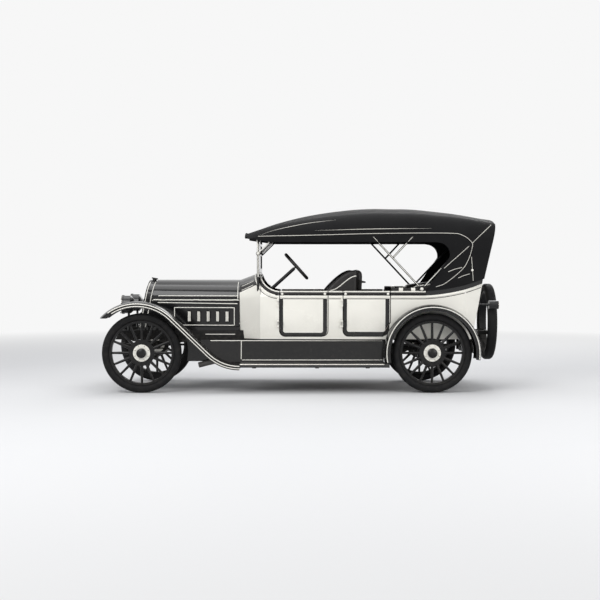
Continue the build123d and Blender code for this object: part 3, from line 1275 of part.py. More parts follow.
def steering_column():
    tube = Pos(0, 0, COLUMN_TOP - column_length / 2) * Cylinder(COLUMN_RADIUS, column_length)
    depth = SHAFT_IN_COLUMN + 4
    tube -= Pos(0, 0, COLUMN_TOP - depth / 2) * Cylinder(SHAFT_RADIUS + SPINDLE_CLEARANCE, depth + 0.01)
    foot = Vector(*STEERING_CENTRE) + up * (COLUMN_TOP - column_length)
    box_outer = FRAME_HALF_WIDTH - RAIL_FLANGE - SEAT
    box = block(foot.X - 50, foot.X + 40, -box_outer, -box_outer + 60, RAIL_TOP_Z - 60, foot.Z + 30)
    return column_plane.location * tube + box


PARTS["steering_wheel"] = steering_wheel()
PARTS["steering_column"] = steering_column()
column_hole = column_plane.location * Pos(0, 0, -column_length / 2) * Cylinder(COLUMN_RADIUS + SEAT, column_length)
PARTS["cowl"] -= column_hole

# Exhaust: a pipe down from the engine and out under the apron to a short silencer.
EXHAUST_X = -1110
EXHAUST_Z = 312
SILENCER_Y = -470
PIPE_Y = -120
PIPE_RADIUS = 15
SILENCER_RADIUS = 32
SILENCER_LENGTH = 190
SILENCER_TILT = 14
exhaust = rod((EXHAUST_X, PIPE_Y, EXHAUST_Z), (EXHAUST_X, PIPE_Y, ENGINE_BOTTOM_Z - SEAT), PIPE_RADIUS)
exhaust += rod((EXHAUST_X, PIPE_Y + PIPE_RADIUS, EXHAUST_Z), (EXHAUST_X, SILENCER_Y, EXHAUST_Z), PIPE_RADIUS)
silencer = Rot(0, 90 - SILENCER_TILT, 0) * Cylinder(SILENCER_RADIUS, SILENCER_LENGTH)
exhaust += Pos(EXHAUST_X, SILENCER_Y, EXHAUST_Z + PIPE_RADIUS / 2) * silencer
PARTS["exhaust"] = exhaust


os.makedirs("parts", exist_ok=True)
for name, shape in PARTS.items():
    export_step(shape, f"parts/{name}.step")
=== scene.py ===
"""Open touring car of about 1913 with its folding top raised, dressed and lit for one picture."""

import math

import bmesh
import bpy
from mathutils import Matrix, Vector
from mathutils.bvhtree import BVHTree


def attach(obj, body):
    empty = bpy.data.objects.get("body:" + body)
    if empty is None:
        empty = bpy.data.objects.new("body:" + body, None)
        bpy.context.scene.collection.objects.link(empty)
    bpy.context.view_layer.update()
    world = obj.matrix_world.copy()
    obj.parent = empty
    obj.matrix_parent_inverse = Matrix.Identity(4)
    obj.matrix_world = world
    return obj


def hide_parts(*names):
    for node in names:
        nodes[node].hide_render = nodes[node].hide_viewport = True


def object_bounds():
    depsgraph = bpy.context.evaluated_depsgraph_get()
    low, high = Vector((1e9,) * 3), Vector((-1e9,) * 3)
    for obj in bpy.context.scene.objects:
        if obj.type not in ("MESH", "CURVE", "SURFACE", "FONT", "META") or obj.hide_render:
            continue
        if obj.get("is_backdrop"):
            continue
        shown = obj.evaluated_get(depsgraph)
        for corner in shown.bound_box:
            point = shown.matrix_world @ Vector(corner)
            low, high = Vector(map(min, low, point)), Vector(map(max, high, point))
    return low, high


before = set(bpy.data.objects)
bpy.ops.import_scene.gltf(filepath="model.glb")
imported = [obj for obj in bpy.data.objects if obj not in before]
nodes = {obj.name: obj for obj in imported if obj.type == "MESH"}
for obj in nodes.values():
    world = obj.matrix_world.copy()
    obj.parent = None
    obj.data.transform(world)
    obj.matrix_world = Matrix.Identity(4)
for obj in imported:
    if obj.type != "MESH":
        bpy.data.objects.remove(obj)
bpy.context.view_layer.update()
scene = bpy.context.scene
scene.view_settings.view_transform = "Standard"


# Chassis, axles and springs are pressed and forged steel, brushed over with black chassis paint.
# The paint is thin and takes road dust low down. They are riveted and bolted together.
def add(tree, kind, sockets=(), **settings):
    """A node in a tree, with its settings and the values or links of its inputs."""
    made = tree.nodes.new(kind)
    for key, value in settings.items():
        setattr(made, key, value)
    for key, value in dict(sockets).items():
        socket = made.inputs[key]
        if isinstance(value, bpy.types.NodeSocket):
            tree.links.new(value, socket)
        else:
            socket.default_value = value
    return made


def shader_group(name, inputs, outputs):
    """An empty shader node group with named sockets, and its two end nodes."""
    tree = bpy.data.node_groups.new(name, "ShaderNodeTree")
    kinds = {"colour": "NodeSocketColor", "value": "NodeSocketFloat", "vector": "NodeSocketVector"}
    for socket, kind in inputs.items():
        tree.interface.new_socket(socket, in_out="INPUT", socket_type=kinds[kind])
    for socket, kind in outputs.items():
        tree.interface.new_socket(socket, in_out="OUTPUT", socket_type=kinds[kind])
    return tree, tree.nodes.new("NodeGroupInput"), tree.nodes.new("NodeGroupOutput")


def blend_colour(tree, factor, first, second, how="MIX"):
    """A colour mix node's result."""
    mix = add(tree, "ShaderNodeMix", data_type="RGBA", blend_type=how)
    for index, value in ((0, factor), (6, first), (7, second)):
        if isinstance(value, bpy.types.NodeSocket):
            tree.links.new(value, mix.inputs[index])
        else:
            mix.inputs[index].default_value = value
    return mix.outputs[2]


def value_of(tree, how, first, second=0.0, third=0.0):
    """The result of one sum."""
    return add(tree, "ShaderNodeMath", {0: first, 1: second, 2: third}, operation=how).outputs[0]


def object_place(tree):
    """The piece's own coordinates, which stay with it when it moves."""
    return add(tree, "ShaderNodeTexCoord").outputs["Object"]


def noise(tree, place, scale, detail):
    """Soft blotches, from 0 to 1."""
    sockets = {"Vector": place, "Scale": scale, "Detail": detail}
    return add(tree, "ShaderNodeTexNoise", sockets).outputs["Fac"]


def remap(tree, value, start=0.0, end=1.0, low=0.0, high=1.0):
    """A value carried over from one range to another, and held in it."""
    sockets = {"Value": value, 1: start, 2: end, 3: low, 4: high}
    return add(tree, "ShaderNodeMapRange", sockets).outputs[0]


def emboss(tree, shader, height, strength, distance):
    """Fine relief on a surface."""
    sockets = {"Height": height, "Strength": strength, "Distance": distance}
    tree.links.new(add(tree, "ShaderNodeBump", sockets).outputs[0], shader.inputs["Normal"])


def place_group(tree, group):
    """A shader group, placed in a material."""
    made = tree.nodes.new("ShaderNodeGroup")
    made.node_tree = group
    return made


coach_paint, given, result = shader_group(
    "coach_paint",
    {"Colour": "colour", "Gloss": "value", "Dust": "value"},
    {"Colour": "colour", "Roughness": "value", "Height": "value"},
)
ROAD_DUST, DUST_TOP_Z, DUST_FULL_Z = (0.30, 0.27, 0.22), 0.95, 0.05
place = object_place(coach_paint)
cloudy = noise(coach_paint, place, scale=2.3, detail=5.0)
brushed = noise(coach_paint, place, scale=190.0, detail=2.0)
specks = noise(coach_paint, place, scale=31.0, detail=6.0)
height_up = add(coach_paint, "ShaderNodeSeparateXYZ", {0: place}).outputs["Z"]
low = remap(coach_paint, height_up, DUST_TOP_Z, DUST_FULL_Z)
patchy = remap(coach_paint, specks, 0.42, 0.72, low=0.15)
settled = value_of(coach_paint, "MULTIPLY", low, patchy)
dust = value_of(coach_paint, "MULTIPLY", settled, given.outputs["Dust"])
shade = remap(coach_paint, cloudy, 0.3, 0.7, low=0.93, high=1.05)
tinted = add(
    coach_paint, "ShaderNodeHueSaturation", {"Color": given.outputs["Colour"], "Value": shade}
).outputs[0]
dusted = blend_colour(coach_paint, dust, tinted, (*ROAD_DUST, 1))
coach_paint.links.new(dusted, result.inputs["Colour"])
rougher = value_of(coach_paint, "MULTIPLY_ADD", cloudy, 0.12, given.outputs["Gloss"])
rougher = value_of(coach_paint, "MULTIPLY_ADD", dust, 0.5, rougher)
coach_paint.links.new(rougher, result.inputs["Roughness"])
coach_paint.links.new(brushed, result.inputs["Height"])


def material(name):
    """A new material's tree and its shader."""
    made = bpy.data.materials.new(name)
    made.use_nodes = True
    tree = made.node_tree
    return made, tree, tree.nodes["Principled BSDF"]


def painted(name, colour, gloss, coat=0.0, dust=0.3, bump=0.02, shine=0.5):
    """Coach paint of one colour; what it returns can still be linked to."""
    made, tree, shader = material(name)
    surface = place_group(tree, coach_paint)
    surface.inputs["Colour"].default_value = (*colour, 1)
    surface.inputs["Gloss"].default_value = gloss
    surface.inputs["Dust"].default_value = dust
    tree.links.new(surface.outputs["Colour"], shader.inputs["Base Color"])
    tree.links.new(surface.outputs["Roughness"], shader.inputs["Roughness"])
    emboss(tree, shader, surface.outputs["Height"], bump, 0.001)
    shader.inputs["Specular IOR Level"].default_value = shine
    shader.inputs["Coat Weight"].default_value = coat
    shader.inputs["Coat Roughness"].default_value = 0.06
    return made


def paint_over(look, mask, colour, second):
    """Puts a second colour on coach paint where a mask in its tree is 1."""
    tree = look.node_tree
    surface = next(node for node in tree.nodes if node.type == "GROUP" and node.node_tree == coach_paint)
    tree.links.new(blend_colour(tree, mask, (*colour, 1), (*second, 1)), surface.inputs["Colour"])


def dress(look, *names):
    """Gives CAD pieces a finish."""
    for name in names:
        mesh = nodes[name].data
        mesh.materials.clear()
        mesh.materials.append(look)


BLACK = (0.004, 0.004, 0.0045)
chassis_paint = painted("chassis_paint", BLACK, 0.42, dust=0.20, bump=0.10, shine=0.2)
dress(
    chassis_paint,
    "frame", "front_axle", "knuckle_left", "knuckle_right", "tie_rod", "front_springs", "rear_springs",
    "rear_axle", "spare_carrier",
)

# Engine and gearbox are one sand-cast iron block, left rough and dulled by oil.
# The exhaust is iron pipe, burnt to the same grey, and clamped under the engine.
CLEAN_IRON, OILY_IRON = (0.16, 0.15, 0.14), (0.05, 0.05, 0.052)
cast_iron, tree, shader = material("cast_iron")
place = object_place(tree)
sand = noise(tree, place, scale=240.0, detail=4.0)
oil = noise(tree, place, scale=6.0, detail=5.0)
tree.links.new(blend_colour(tree, oil, (*OILY_IRON, 1), (*CLEAN_IRON, 1)), shader.inputs["Base Color"])
tree.links.new(remap(tree, oil, low=0.45, high=0.8), shader.inputs["Roughness"])
shader.inputs["Metallic"].default_value = 0.6
emboss(tree, shader, sand, 0.35, 0.002)
dress(cast_iron, "engine", "exhaust")

# Tyres are black rubber moulded over cotton plies: a ribbed tread with cross bars, and rings on the walls.
# Each tyre's pattern is centred on its own axle.
AXLES = {
    "front_left": (-1.835, -0.711, 0.457),
    "front_right": (-1.835, 0.711, 0.457),
    "rear_left": (1.505, -0.711, 0.457),
    "rear_right": (1.505, 0.711, 0.457),
}
tyre_mould, given, result = shader_group(
    "tyre_mould", {"Across": "value", "Up": "value", "Along": "value"},
    {"Height": "value", "Grime": "value"},
)
TREAD_HALF, TREAD_INNER_RADIUS = 0.040, 0.425
RIB_RATE, BAR_RATE, BAR_SLANT, RING_RATE = 560.0, 96.0, 240.0, 420.0
across, up, along = (given.outputs[name] for name in ("Across", "Up", "Along"))
along_squared = value_of(tyre_mould, "MULTIPLY", along, along)
radius = value_of(tyre_mould, "POWER", value_of(tyre_mould, "MULTIPLY_ADD", up, up, along_squared), 0.5)
angle = value_of(tyre_mould, "ARCTAN2", up, along)
side = value_of(tyre_mould, "ABSOLUTE", across)
tread = value_of(tyre_mould, "LESS_THAN", side, TREAD_HALF)
outer = value_of(tyre_mould, "GREATER_THAN", radius, TREAD_INNER_RADIUS)
ribs = value_of(tyre_mould, "SINE", value_of(tyre_mould, "MULTIPLY", across, RIB_RATE))
slant = value_of(tyre_mould, "MULTIPLY", side, BAR_SLANT)
bars = value_of(tyre_mould, "SINE", value_of(tyre_mould, "MULTIPLY_ADD", angle, BAR_RATE, slant))
cut = value_of(tyre_mould, "GREATER_THAN", value_of(tyre_mould, "MULTIPLY", bars, ribs), -0.25)
on_tread = value_of(tyre_mould, "MULTIPLY", value_of(tyre_mould, "MULTIPLY", tread, outer), cut)
rings = value_of(tyre_mould, "SINE", value_of(tyre_mould, "MULTIPLY", radius, RING_RATE))
ringed = value_of(tyre_mould, "GREATER_THAN", rings, 0.86)
wall = value_of(tyre_mould, "LESS_THAN", radius, TREAD_INNER_RADIUS)
on_wall = value_of(tyre_mould, "MULTIPLY", wall, value_of(tyre_mould, "MULTIPLY", ringed, 0.5))
tyre_mould.links.new(value_of(tyre_mould, "ADD", on_tread, on_wall), result.inputs["Height"])
tyre_mould.links.new(value_of(tyre_mould, "SUBTRACT", 1.0, on_tread), result.inputs["Grime"])
RUBBER, RUBBER_DUST = (0.006, 0.006, 0.0065), (0.07, 0.064, 0.055)


def centred(tree, centre):
    """Object coordinates, counted from a piece's own middle."""
    sockets = {"Vector": object_place(tree), "Location": [-value for value in centre]}
    return add(tree, "ShaderNodeMapping", sockets).outputs[0]


def tyre_rubber(name, centre, axis):
    """Rubber for one tyre; axis is the letter of the line that it turns about."""
    made, tree, shader = material(name)
    parts = add(tree, "ShaderNodeSeparateXYZ", {0: centred(tree, centre)})
    mould = place_group(tree, tyre_mould)
    order = ("Y", "Z", "X") if axis == "Y" else ("X", "Z", "Y")
    for socket, letter in zip(("Across", "Up", "Along"), order):
        tree.links.new(parts.outputs[letter], mould.inputs[socket])
    mottle = noise(tree, object_place(tree), scale=17.0, detail=6.0)
    dusty = remap(tree, mottle, 0.45, 0.8, high=0.22)
    dusty = value_of(tree, "MULTIPLY", dusty, mould.outputs["Grime"])
    rubber = blend_colour(tree, dusty, (*RUBBER, 1), (*RUBBER_DUST, 1))
    tree.links.new(rubber, shader.inputs["Base Color"])
    shader.inputs["Specular IOR Level"].default_value = 0.18
    tree.links.new(remap(tree, mottle, low=0.55, high=0.8), shader.inputs["Roughness"])
    emboss(tree, shader, mould.outputs["Height"], 0.7, 0.004)
    return made


for name, centre in AXLES.items():
    dress(tyre_rubber("tyre_rubber_" + name, centre, "Y"), "tyre_" + name)

# Wheels are hickory spokes driven into felloes, filled and varnished black.
# Hubs are turned steel and clamp the spokes between two flanges. Their outer flange is an ivory ring
# round a black cap.
wheel_paint = painted("wheel_paint", BLACK, 0.24, coat=0.12, dust=0.06, bump=0.05, shine=0.2)
IVORY = (0.80, 0.78, 0.71)
HUB_RING = (0.0555, 0.0985)
for name, centre in AXLES.items():
    dress(wheel_paint, "wheel_" + name)
    hub_paint = painted("hub_paint_" + name, IVORY, 0.25, coat=0.12, dust=0.06, shine=0.2)
    tree = hub_paint.node_tree
    flat = add(
        tree, "ShaderNodeVectorMath", {0: centred(tree, centre), 1: (1, 0, 1)}, operation="MULTIPLY"
    ).outputs[0]
    radius = add(tree, "ShaderNodeVectorMath", {0: flat}, operation="LENGTH").outputs["Value"]
    past_cap = value_of(tree, "GREATER_THAN", radius, HUB_RING[0])
    ring = value_of(tree, "MULTIPLY", past_cap, value_of(tree, "LESS_THAN", radius, HUB_RING[1]))
    paint_over(hub_paint, ring, BLACK, IVORY)
    dress(hub_paint, "hub_" + name)

# Fenders, hood, radiator shell and splash aprons are rolled sheet steel under black stove enamel.
# Their edges are wired, and a coach liner drew the ivory lines by hand.
ENAMEL = {"gloss": 0.09, "coat": 0.35, "dust": 0.06, "shine": 0.25}
black_enamel = painted("black_enamel", BLACK, **ENAMEL)
dress(
    black_enamel,
    "fender_front_left", "fender_front_right", "fender_rear_left", "fender_rear_right", "radiator_shell",
    "hood_sills", "splash_aprons", "headlamps", "tail_lamp",
)

# The hood's sides hang on barrel hinges, lined in ivory, and each has a row of pressed louvres.
# The raised faces of the louvres are painted ivory as a painted highlight: the paint stops a little above the
# panel.
HOOD_HINGE_Z, HINGE_LINE_HALF = 1.056, 0.0075
LOUVRES, LOUVRE_FIRST_X, LOUVRE_PITCH, LOUVRE_Z = 5, -1.320, 0.112, 0.862
LOUVRE_HIGHLIGHT_BACK, LOUVRE_HIGHLIGHT_HALF = 0.004, 0.016
LOUVRE_HIGHLIGHT_HALF_HEIGHT, LOUVRE_HIGHLIGHT_RISE = 0.058, 0.002
HOOD_NOSE_X, HOOD_NOSE_HALF, HOOD_SPREAD = -1.935, 0.285, 0.0806
hood_enamel = painted("hood_enamel", BLACK, **ENAMEL)
tree = hood_enamel.node_tree
parts = add(tree, "ShaderNodeSeparateXYZ", {0: object_place(tree)})
along, across, height_up = (parts.outputs[letter] for letter in "XYZ")
at_hinge = value_of(tree, "COMPARE", height_up, HOOD_HINGE_Z, HINGE_LINE_HALF)
from_first = value_of(tree, "SUBTRACT", along, LOUVRE_FIRST_X)
from_own = value_of(tree, "WRAP", from_first, LOUVRE_PITCH / 2, -LOUVRE_PITCH / 2)
row_half = LOUVRE_PITCH * (LOUVRES - 1) / 2
panel = value_of(tree, "MULTIPLY_ADD", along, HOOD_SPREAD, HOOD_NOSE_HALF - HOOD_SPREAD * HOOD_NOSE_X)
raised = value_of(tree, "SUBTRACT", value_of(tree, "ABSOLUTE", across), panel)
# Painted highlight: ivory on the raised face of each louvre.
louvre_highlight = value_of(tree, "COMPARE", from_own, -LOUVRE_HIGHLIGHT_BACK, LOUVRE_HIGHLIGHT_HALF)
for within in (
    value_of(tree, "COMPARE", from_first, row_half, row_half + LOUVRE_PITCH / 2),
    value_of(tree, "COMPARE", height_up, LOUVRE_Z, LOUVRE_HIGHLIGHT_HALF_HEIGHT),
    value_of(tree, "GREATER_THAN", raised, LOUVRE_HIGHLIGHT_RISE),
):
    louvre_highlight = value_of(tree, "MULTIPLY", louvre_highlight, within)
paint_over(hood_enamel, value_of(tree, "MAXIMUM", at_hinge, louvre_highlight), BLACK, IVORY)
dress(hood_enamel, "hood_top", "hood_side_left", "hood_side_right")

# Fender edges are rolled over a wire, and ivory coach lines follow them above it.
# The lines are laid out in side view and stop short of the front tip.
beading = bpy.data.node_groups.new("round_beading", "GeometryNodeTree")
BEADING_INPUTS = {"Geometry": "Geometry", "Radius": "Float", "Taper": "Float", "Material": "Material"}
for socket, kind in BEADING_INPUTS.items():
    beading.interface.new_socket(socket, in_out="INPUT", socket_type="NodeSocket" + kind)
beading.interface.new_socket("Geometry", in_out="OUTPUT", socket_type="NodeSocketGeometry")
given = beading.nodes.new("NodeGroupInput")
path = add(beading, "GeometryNodeMeshToCurve", {"Mesh": given.outputs["Geometry"]}).outputs[0]
along = add(beading, "GeometryNodeSplineParameter").outputs["Factor"]
to_end = value_of(beading, "MINIMUM", along, value_of(beading, "SUBTRACT", 1.0, along))
TAPER_SHARE = 0.4
near_end = value_of(beading, "MULTIPLY_ADD", to_end, -1 / TAPER_SHARE, 1.0)
near_end = value_of(beading, "MAXIMUM", near_end, 0.0)
loss = value_of(beading, "MULTIPLY", near_end, given.outputs["Taper"])
fullness = value_of(beading, "SUBTRACT", 1.0, loss)
ring = add(
    beading, "GeometryNodeCurvePrimitiveCircle", {"Resolution": 8, "Radius": given.outputs["Radius"]}
).outputs[0]
tube = add(
    beading, "GeometryNodeCurveToMesh",
    {"Curve": path, "Profile Curve": ring, "Scale": fullness, "Fill Caps": True},
).outputs[0]
tube = add(beading, "GeometryNodeSetShadeSmooth", {"Geometry": tube}).outputs[0]
tube = add(beading, "GeometryNodeRealizeInstances", {"Geometry": tube}).outputs[0]
tube = add(
    beading, "GeometryNodeSetMaterial", {"Geometry": tube, "Material": given.outputs["Material"]}
).outputs[0]
beading.links.new(tube, beading.nodes.new("NodeGroupOutput").inputs[0])


def run_nodes(made, group, values):
    """Runs a geometry node group on an object and keeps the result as a plain mesh."""
    modifier = made.modifiers.new("nodes", "NODES")
    modifier.node_group = group
    for item in group.interface.items_tree:
        if item.in_out == "INPUT" and item.name in values:
            modifier[item.identifier] = values[item.name]
    settle(made)


def settle(made):
    """Applies an object's modifiers."""
    graph = bpy.context.evaluated_depsgraph_get()
    mesh = bpy.data.meshes.new_from_object(made.evaluated_get(graph))
    made.modifiers.clear()
    made.data = mesh


def piece(name, points, edges=(), faces=()):
    """A new mesh object in the scene."""
    mesh = bpy.data.meshes.new(name)
    mesh.from_pydata(points, edges, faces)
    made = bpy.data.objects.new(name, mesh)
    scene.collection.objects.link(made)
    return made


def bead(name, paths, radius, look, body, taper=0.0):
    """Round beading along some lines, fixed to a body; taper is the share of its radius lost at the ends."""
    points, edges = [], []
    for line in paths:
        edges += [(len(points) + index, len(points) + index + 1) for index in range(len(line) - 1)]
        points += line
    made = piece(name, points, edges)
    run_nodes(made, beading, {"Radius": radius, "Taper": taper, "Material": look})
    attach(made, body)
    return made


def twin_bead(name, paths, radius, look, body):
    """The same beading on the left side and, mirrored, on the right; {side} in body is left or right."""
    for side, sign in (("left", 1), ("right", -1)):
        turned = [[(x, sign * y, z) for x, y, z in line] for line in paths]
        bead(f"{name}_{side}", turned, radius, look, body.format(side=side))


def skin(*names):
    """The surfaces of some pieces, to set trim on."""
    points, faces = [], []
    for name in names:
        mesh = (nodes.get(name) or bpy.data.objects[name]).data
        first = len(points)
        points += [vertex.co.copy() for vertex in mesh.vertices]
        faces += [[first + index for index in polygon.vertices] for polygon in mesh.polygons]
    return BVHTree.FromPolygons(points, faces)


FAR_LEFT_Y = -2.0


def on_left(surface, line, out=0.0):
    """A line given in side view, laid on a surface as it is met from the left."""
    laid = []
    for x, z in line:
        hit = surface.ray_cast(Vector((x, FAR_LEFT_Y, z)), Vector((0, 1, 0)))[0]
        if hit:
            laid.append((x, hit.y - out, z))
    return laid


def straight(start, end, count=24):
    """Evenly spaced points between two places in side view."""
    return [tuple(a + (b - a) * index / count for a, b in zip(start, end)) for index in range(count + 1)]


def arc(centre, radius, first, last, count=40):
    """Points of a circle in side view; angles are in degrees from straight up, towards the rear."""
    turns = [math.radians(first + (last - first) * index / count) for index in range(count + 1)]
    return [(centre[0] + radius * math.sin(turn), centre[1] + radius * math.cos(turn)) for turn in turns]


lining = painted("ivory_lining", IVORY, 0.3, coat=0.4, dust=0.1, bump=0.0)
FENDER_SIDE_Y = -0.850
FENDER_SLOPE = 44.0
CROWN, CROWN_RADIUS, CROWN_TIP_Z = (-1.877, 0.457), 0.595, 0.864
SWEEP, SWEEP_RADIUS = (-0.7054, 0.820), 0.480
REAR_ARCH, REAR_ARCH_RADIUS, REAR_ARCH_ENDS = (1.505, 0.457), 0.560, (-101, 97)
FRONT_LINE_DEPTHS, REAR_LINE_DEPTH, BARE_TIP, FENDER_LINE_RADIUS = (0.027, 0.056), 0.030, 9.0, 0.0055
WIRE_DEPTH, WIRE_RADIUS = 0.067, 0.0050


def fender_line(depth, bare=0.0):
    """A line along the front fender's outer side, below its crown; the tip is bare for some degrees."""
    radius = CROWN_RADIUS - depth
    tip = -math.degrees(math.acos((CROWN_TIP_Z - CROWN[1]) / radius))
    over = arc(CROWN, radius, tip + bare, FENDER_SLOPE)
    down = arc(SWEEP, SWEEP_RADIUS + depth, 180 + FENDER_SLOPE, 180, 16)
    return [(x, FENDER_SIDE_Y, z) for x, z in over + down]


def arch_line(depth):
    """The same along the rear fender."""
    arch = arc(REAR_ARCH, REAR_ARCH_RADIUS - depth, *REAR_ARCH_ENDS, 60)
    return [(x, FENDER_SIDE_Y, z) for x, z in arch]


fender_lines = [fender_line(depth, BARE_TIP) for depth in FRONT_LINE_DEPTHS]
for name, lines, radius, look, slot in (
    ("front_fender_lining", fender_lines, FENDER_LINE_RADIUS, lining, "ivory_enamel"),
    ("rear_fender_lining", [arch_line(REAR_LINE_DEPTH)], FENDER_LINE_RADIUS, lining, "ivory_enamel"),
    ("front_fender_wire", [fender_line(WIRE_DEPTH)], WIRE_RADIUS, black_enamel, "black_enamel"),
    ("rear_fender_wire", [arch_line(WIRE_DEPTH)], WIRE_RADIUS, black_enamel, "black_enamel"),
):
    twin_bead(name, lines, radius, look, "chassis")

# Coach lines on the hood, radiator and splash aprons are drawn by hand in ivory enamel.
# They run over and under the hinge, round the louvres, along both edges of the radiator shell, and round
# the aprons. The ivory bead down each louvre's lip is part of the louvres' painted highlight.
COACH_LINE_RADIUS = 0.0050
LOUVRE_BOX, LIP_HIGHLIGHT_BACK, LIP_HIGHLIGHT_ENDS = (-1.500, -0.790, 0.758, 0.965), 0.009, (0.806, 0.918)
UNDER_HINGE = ((-1.70, 1.024), (-0.752, 1.012))
OVER_HINGE, HOOD_END = ((-1.690, 1.104), (-0.745, 1.104)), ((-0.748, 1.072), (-0.748, 1.262))
RADIATOR_RAKE, RADIATOR_ENDS = math.tan(math.radians(11)), (0.732, 1.262)
RADIATOR_LINES_BACK, RADIATOR_END_RISES = (0.016, 0.078), (0.03, 0.57)
APRON_LINES = (
    ((-1.060, 0.585), (0.945, 0.585)),
    ((-0.690, 0.362), (0.945, 0.362)),
    ((-0.700, 0.372), (-0.700, 0.585)),
    ((-1.130, 0.652), (-0.780, 0.652)),
)
x0, x1, z0, z1 = LOUVRE_BOX
box = [(x0, z0), (x1, z0), (x1, z1), (x0, z1), (x0, z0)]
louvre_frame = [place for ends in zip(box, box[1:]) for place in straight(*ends)]
side_skin, top_skin, shell_skin = skin("hood_side_left"), skin("hood_top"), skin("radiator_shell")
side_lines = [on_left(side_skin, louvre_frame), on_left(side_skin, straight(*UNDER_HINGE))]
# Each louvre's lip bead widens that louvre's painted highlight.
for index in range(LOUVRES):
    x = LOUVRE_FIRST_X + LOUVRE_PITCH * index + LIP_HIGHLIGHT_BACK
    side_lines.append(on_left(side_skin, straight((x, LIP_HIGHLIGHT_ENDS[0]), (x, LIP_HIGHLIGHT_ENDS[1]), 6)))
top_lines = [on_left(top_skin, straight(*OVER_HINGE)), on_left(top_skin, straight(*HOOD_END, 20))]
shell_lines = []
for back in RADIATOR_LINES_BACK:
    ends = [
        (HOOD_NOSE_X + back + rise * RADIATOR_RAKE, z) for rise, z in zip(RADIATOR_END_RISES, RADIATOR_ENDS)
    ]
    shell_lines.append(on_left(shell_skin, straight(*ends, 40)))
apron_skin = skin("splash_aprons", "frame")
apron_lines = [on_left(apron_skin, straight(*ends, 40)) for ends in APRON_LINES]
for name, lines, body in (
    ("hood_side_lining", side_lines, "hood_side_{side}"),
    ("hood_top_lining", top_lines, "chassis"),
    ("radiator_lining", shell_lines, "chassis"),
    ("splash_lining", apron_lines, "chassis"),
):
    twin_bead(name, lines, COACH_LINE_RADIUS, lining, body)

# Cowl, tub and doors are sheet steel over an ash frame, in ivory coach enamel with a broad black band
# round each door. Inside they are lined with dark trim cloth.
door_band, given, result = shader_group(
    "door_band",
    {"Place": "vector", "Front": "value", "Rear": "value", "Bottom": "value"},
    {"Mask": "value"},
)
BAND_CORNER, BAND_HALF, BAND_TOP = 0.050, 0.024, 1.078
parts = add(door_band, "ShaderNodeSeparateXYZ", {0: given.outputs["Place"]})
front, rear, bottom = (given.outputs[name] for name in ("Front", "Rear", "Bottom"))
half_span = value_of(door_band, "MULTIPLY", value_of(door_band, "SUBTRACT", rear, front), 0.5)
middle = value_of(door_band, "ADD", front, half_span)
aside = value_of(door_band, "ABSOLUTE", value_of(door_band, "SUBTRACT", parts.outputs["X"], middle))
past_x = value_of(door_band, "SUBTRACT", aside, value_of(door_band, "SUBTRACT", half_span, BAND_CORNER))
over_bottom = value_of(door_band, "ADD", bottom, BAND_CORNER)
past_z = value_of(door_band, "SUBTRACT", over_bottom, parts.outputs["Z"])
corner_x = value_of(door_band, "MAXIMUM", past_x, 0.0)
corner_z = value_of(door_band, "MAXIMUM", past_z, 0.0)
squared = value_of(door_band, "MULTIPLY", corner_z, corner_z)
round_off = value_of(
    door_band, "POWER", value_of(door_band, "MULTIPLY_ADD", corner_x, corner_x, squared), 0.5
)
inside = value_of(door_band, "MINIMUM", value_of(door_band, "MAXIMUM", past_x, past_z), 0.0)
away = value_of(door_band, "SUBTRACT", value_of(door_band, "ADD", round_off, inside), BAND_CORNER)
near = value_of(door_band, "LESS_THAN", value_of(door_band, "ABSOLUTE", away), BAND_HALF)
below = value_of(door_band, "LESS_THAN", parts.outputs["Z"], BAND_TOP)
door_band.links.new(value_of(door_band, "MULTIPLY", near, below), result.inputs["Mask"])

DOOR_BANDS = ((-0.235, 0.276, 0.656), (0.506, 0.998, 0.668))
BODY_CENTRE, FACES_INWARD = (0.70, 0.0, 0.95), -0.02
body_ivory = painted("body_ivory", IVORY, 0.20, coat=0.25, dust=0.18, shine=0.35)
tree = body_ivory.node_tree
coords = add(tree, "ShaderNodeTexCoord")
place = coords.outputs["Object"]
parts = add(tree, "ShaderNodeSeparateXYZ", {0: place})
blacked = []
for ends in DOOR_BANDS:
    band = place_group(tree, door_band)
    tree.links.new(place, band.inputs["Place"])
    for socket, value in zip(("Front", "Rear", "Bottom"), ends):
        band.inputs[socket].default_value = value
    blacked.append(band.outputs["Mask"])
DOME_EDGE, DOME_SLOPE, DOME_REAR_X = (-0.698, 1.157), 0.46, -0.478
past_edge = value_of(tree, "SUBTRACT", parts.outputs["X"], DOME_EDGE[0])
edge_z = value_of(tree, "MULTIPLY_ADD", past_edge, DOME_SLOPE, DOME_EDGE[1])
blacked.append(value_of(
    tree, "MULTIPLY", value_of(tree, "GREATER_THAN", parts.outputs["Z"], edge_z),
    value_of(tree, "LESS_THAN", parts.outputs["X"], DOME_REAR_X),
))
RIM_Z, COAMING_DROP, COAMING_HALF, COAMING_X = 1.165, 0.032, 0.019, (-0.300, 1.440)
on_coaming = value_of(tree, "COMPARE", parts.outputs["Z"], RIM_Z - COAMING_DROP, COAMING_HALF)
for how, x in zip(("GREATER_THAN", "LESS_THAN"), COAMING_X):
    on_coaming = value_of(tree, "MULTIPLY", on_coaming, value_of(tree, how, parts.outputs["X"], x))
blacked.append(on_coaming)
SWEEP_X, SWEEP_LENGTH, SWEEP_RISE, SWEEP_LEAN = 1.430, 0.698, 0.140, 0.2
swept = value_of(tree, "MULTIPLY_ADD", parts.outputs["X"], 1 / SWEEP_LENGTH, -SWEEP_X / SWEEP_LENGTH)
steepness = value_of(tree, "MULTIPLY_ADD", swept, (1 - SWEEP_LEAN) * SWEEP_RISE, SWEEP_LEAN * SWEEP_RISE)
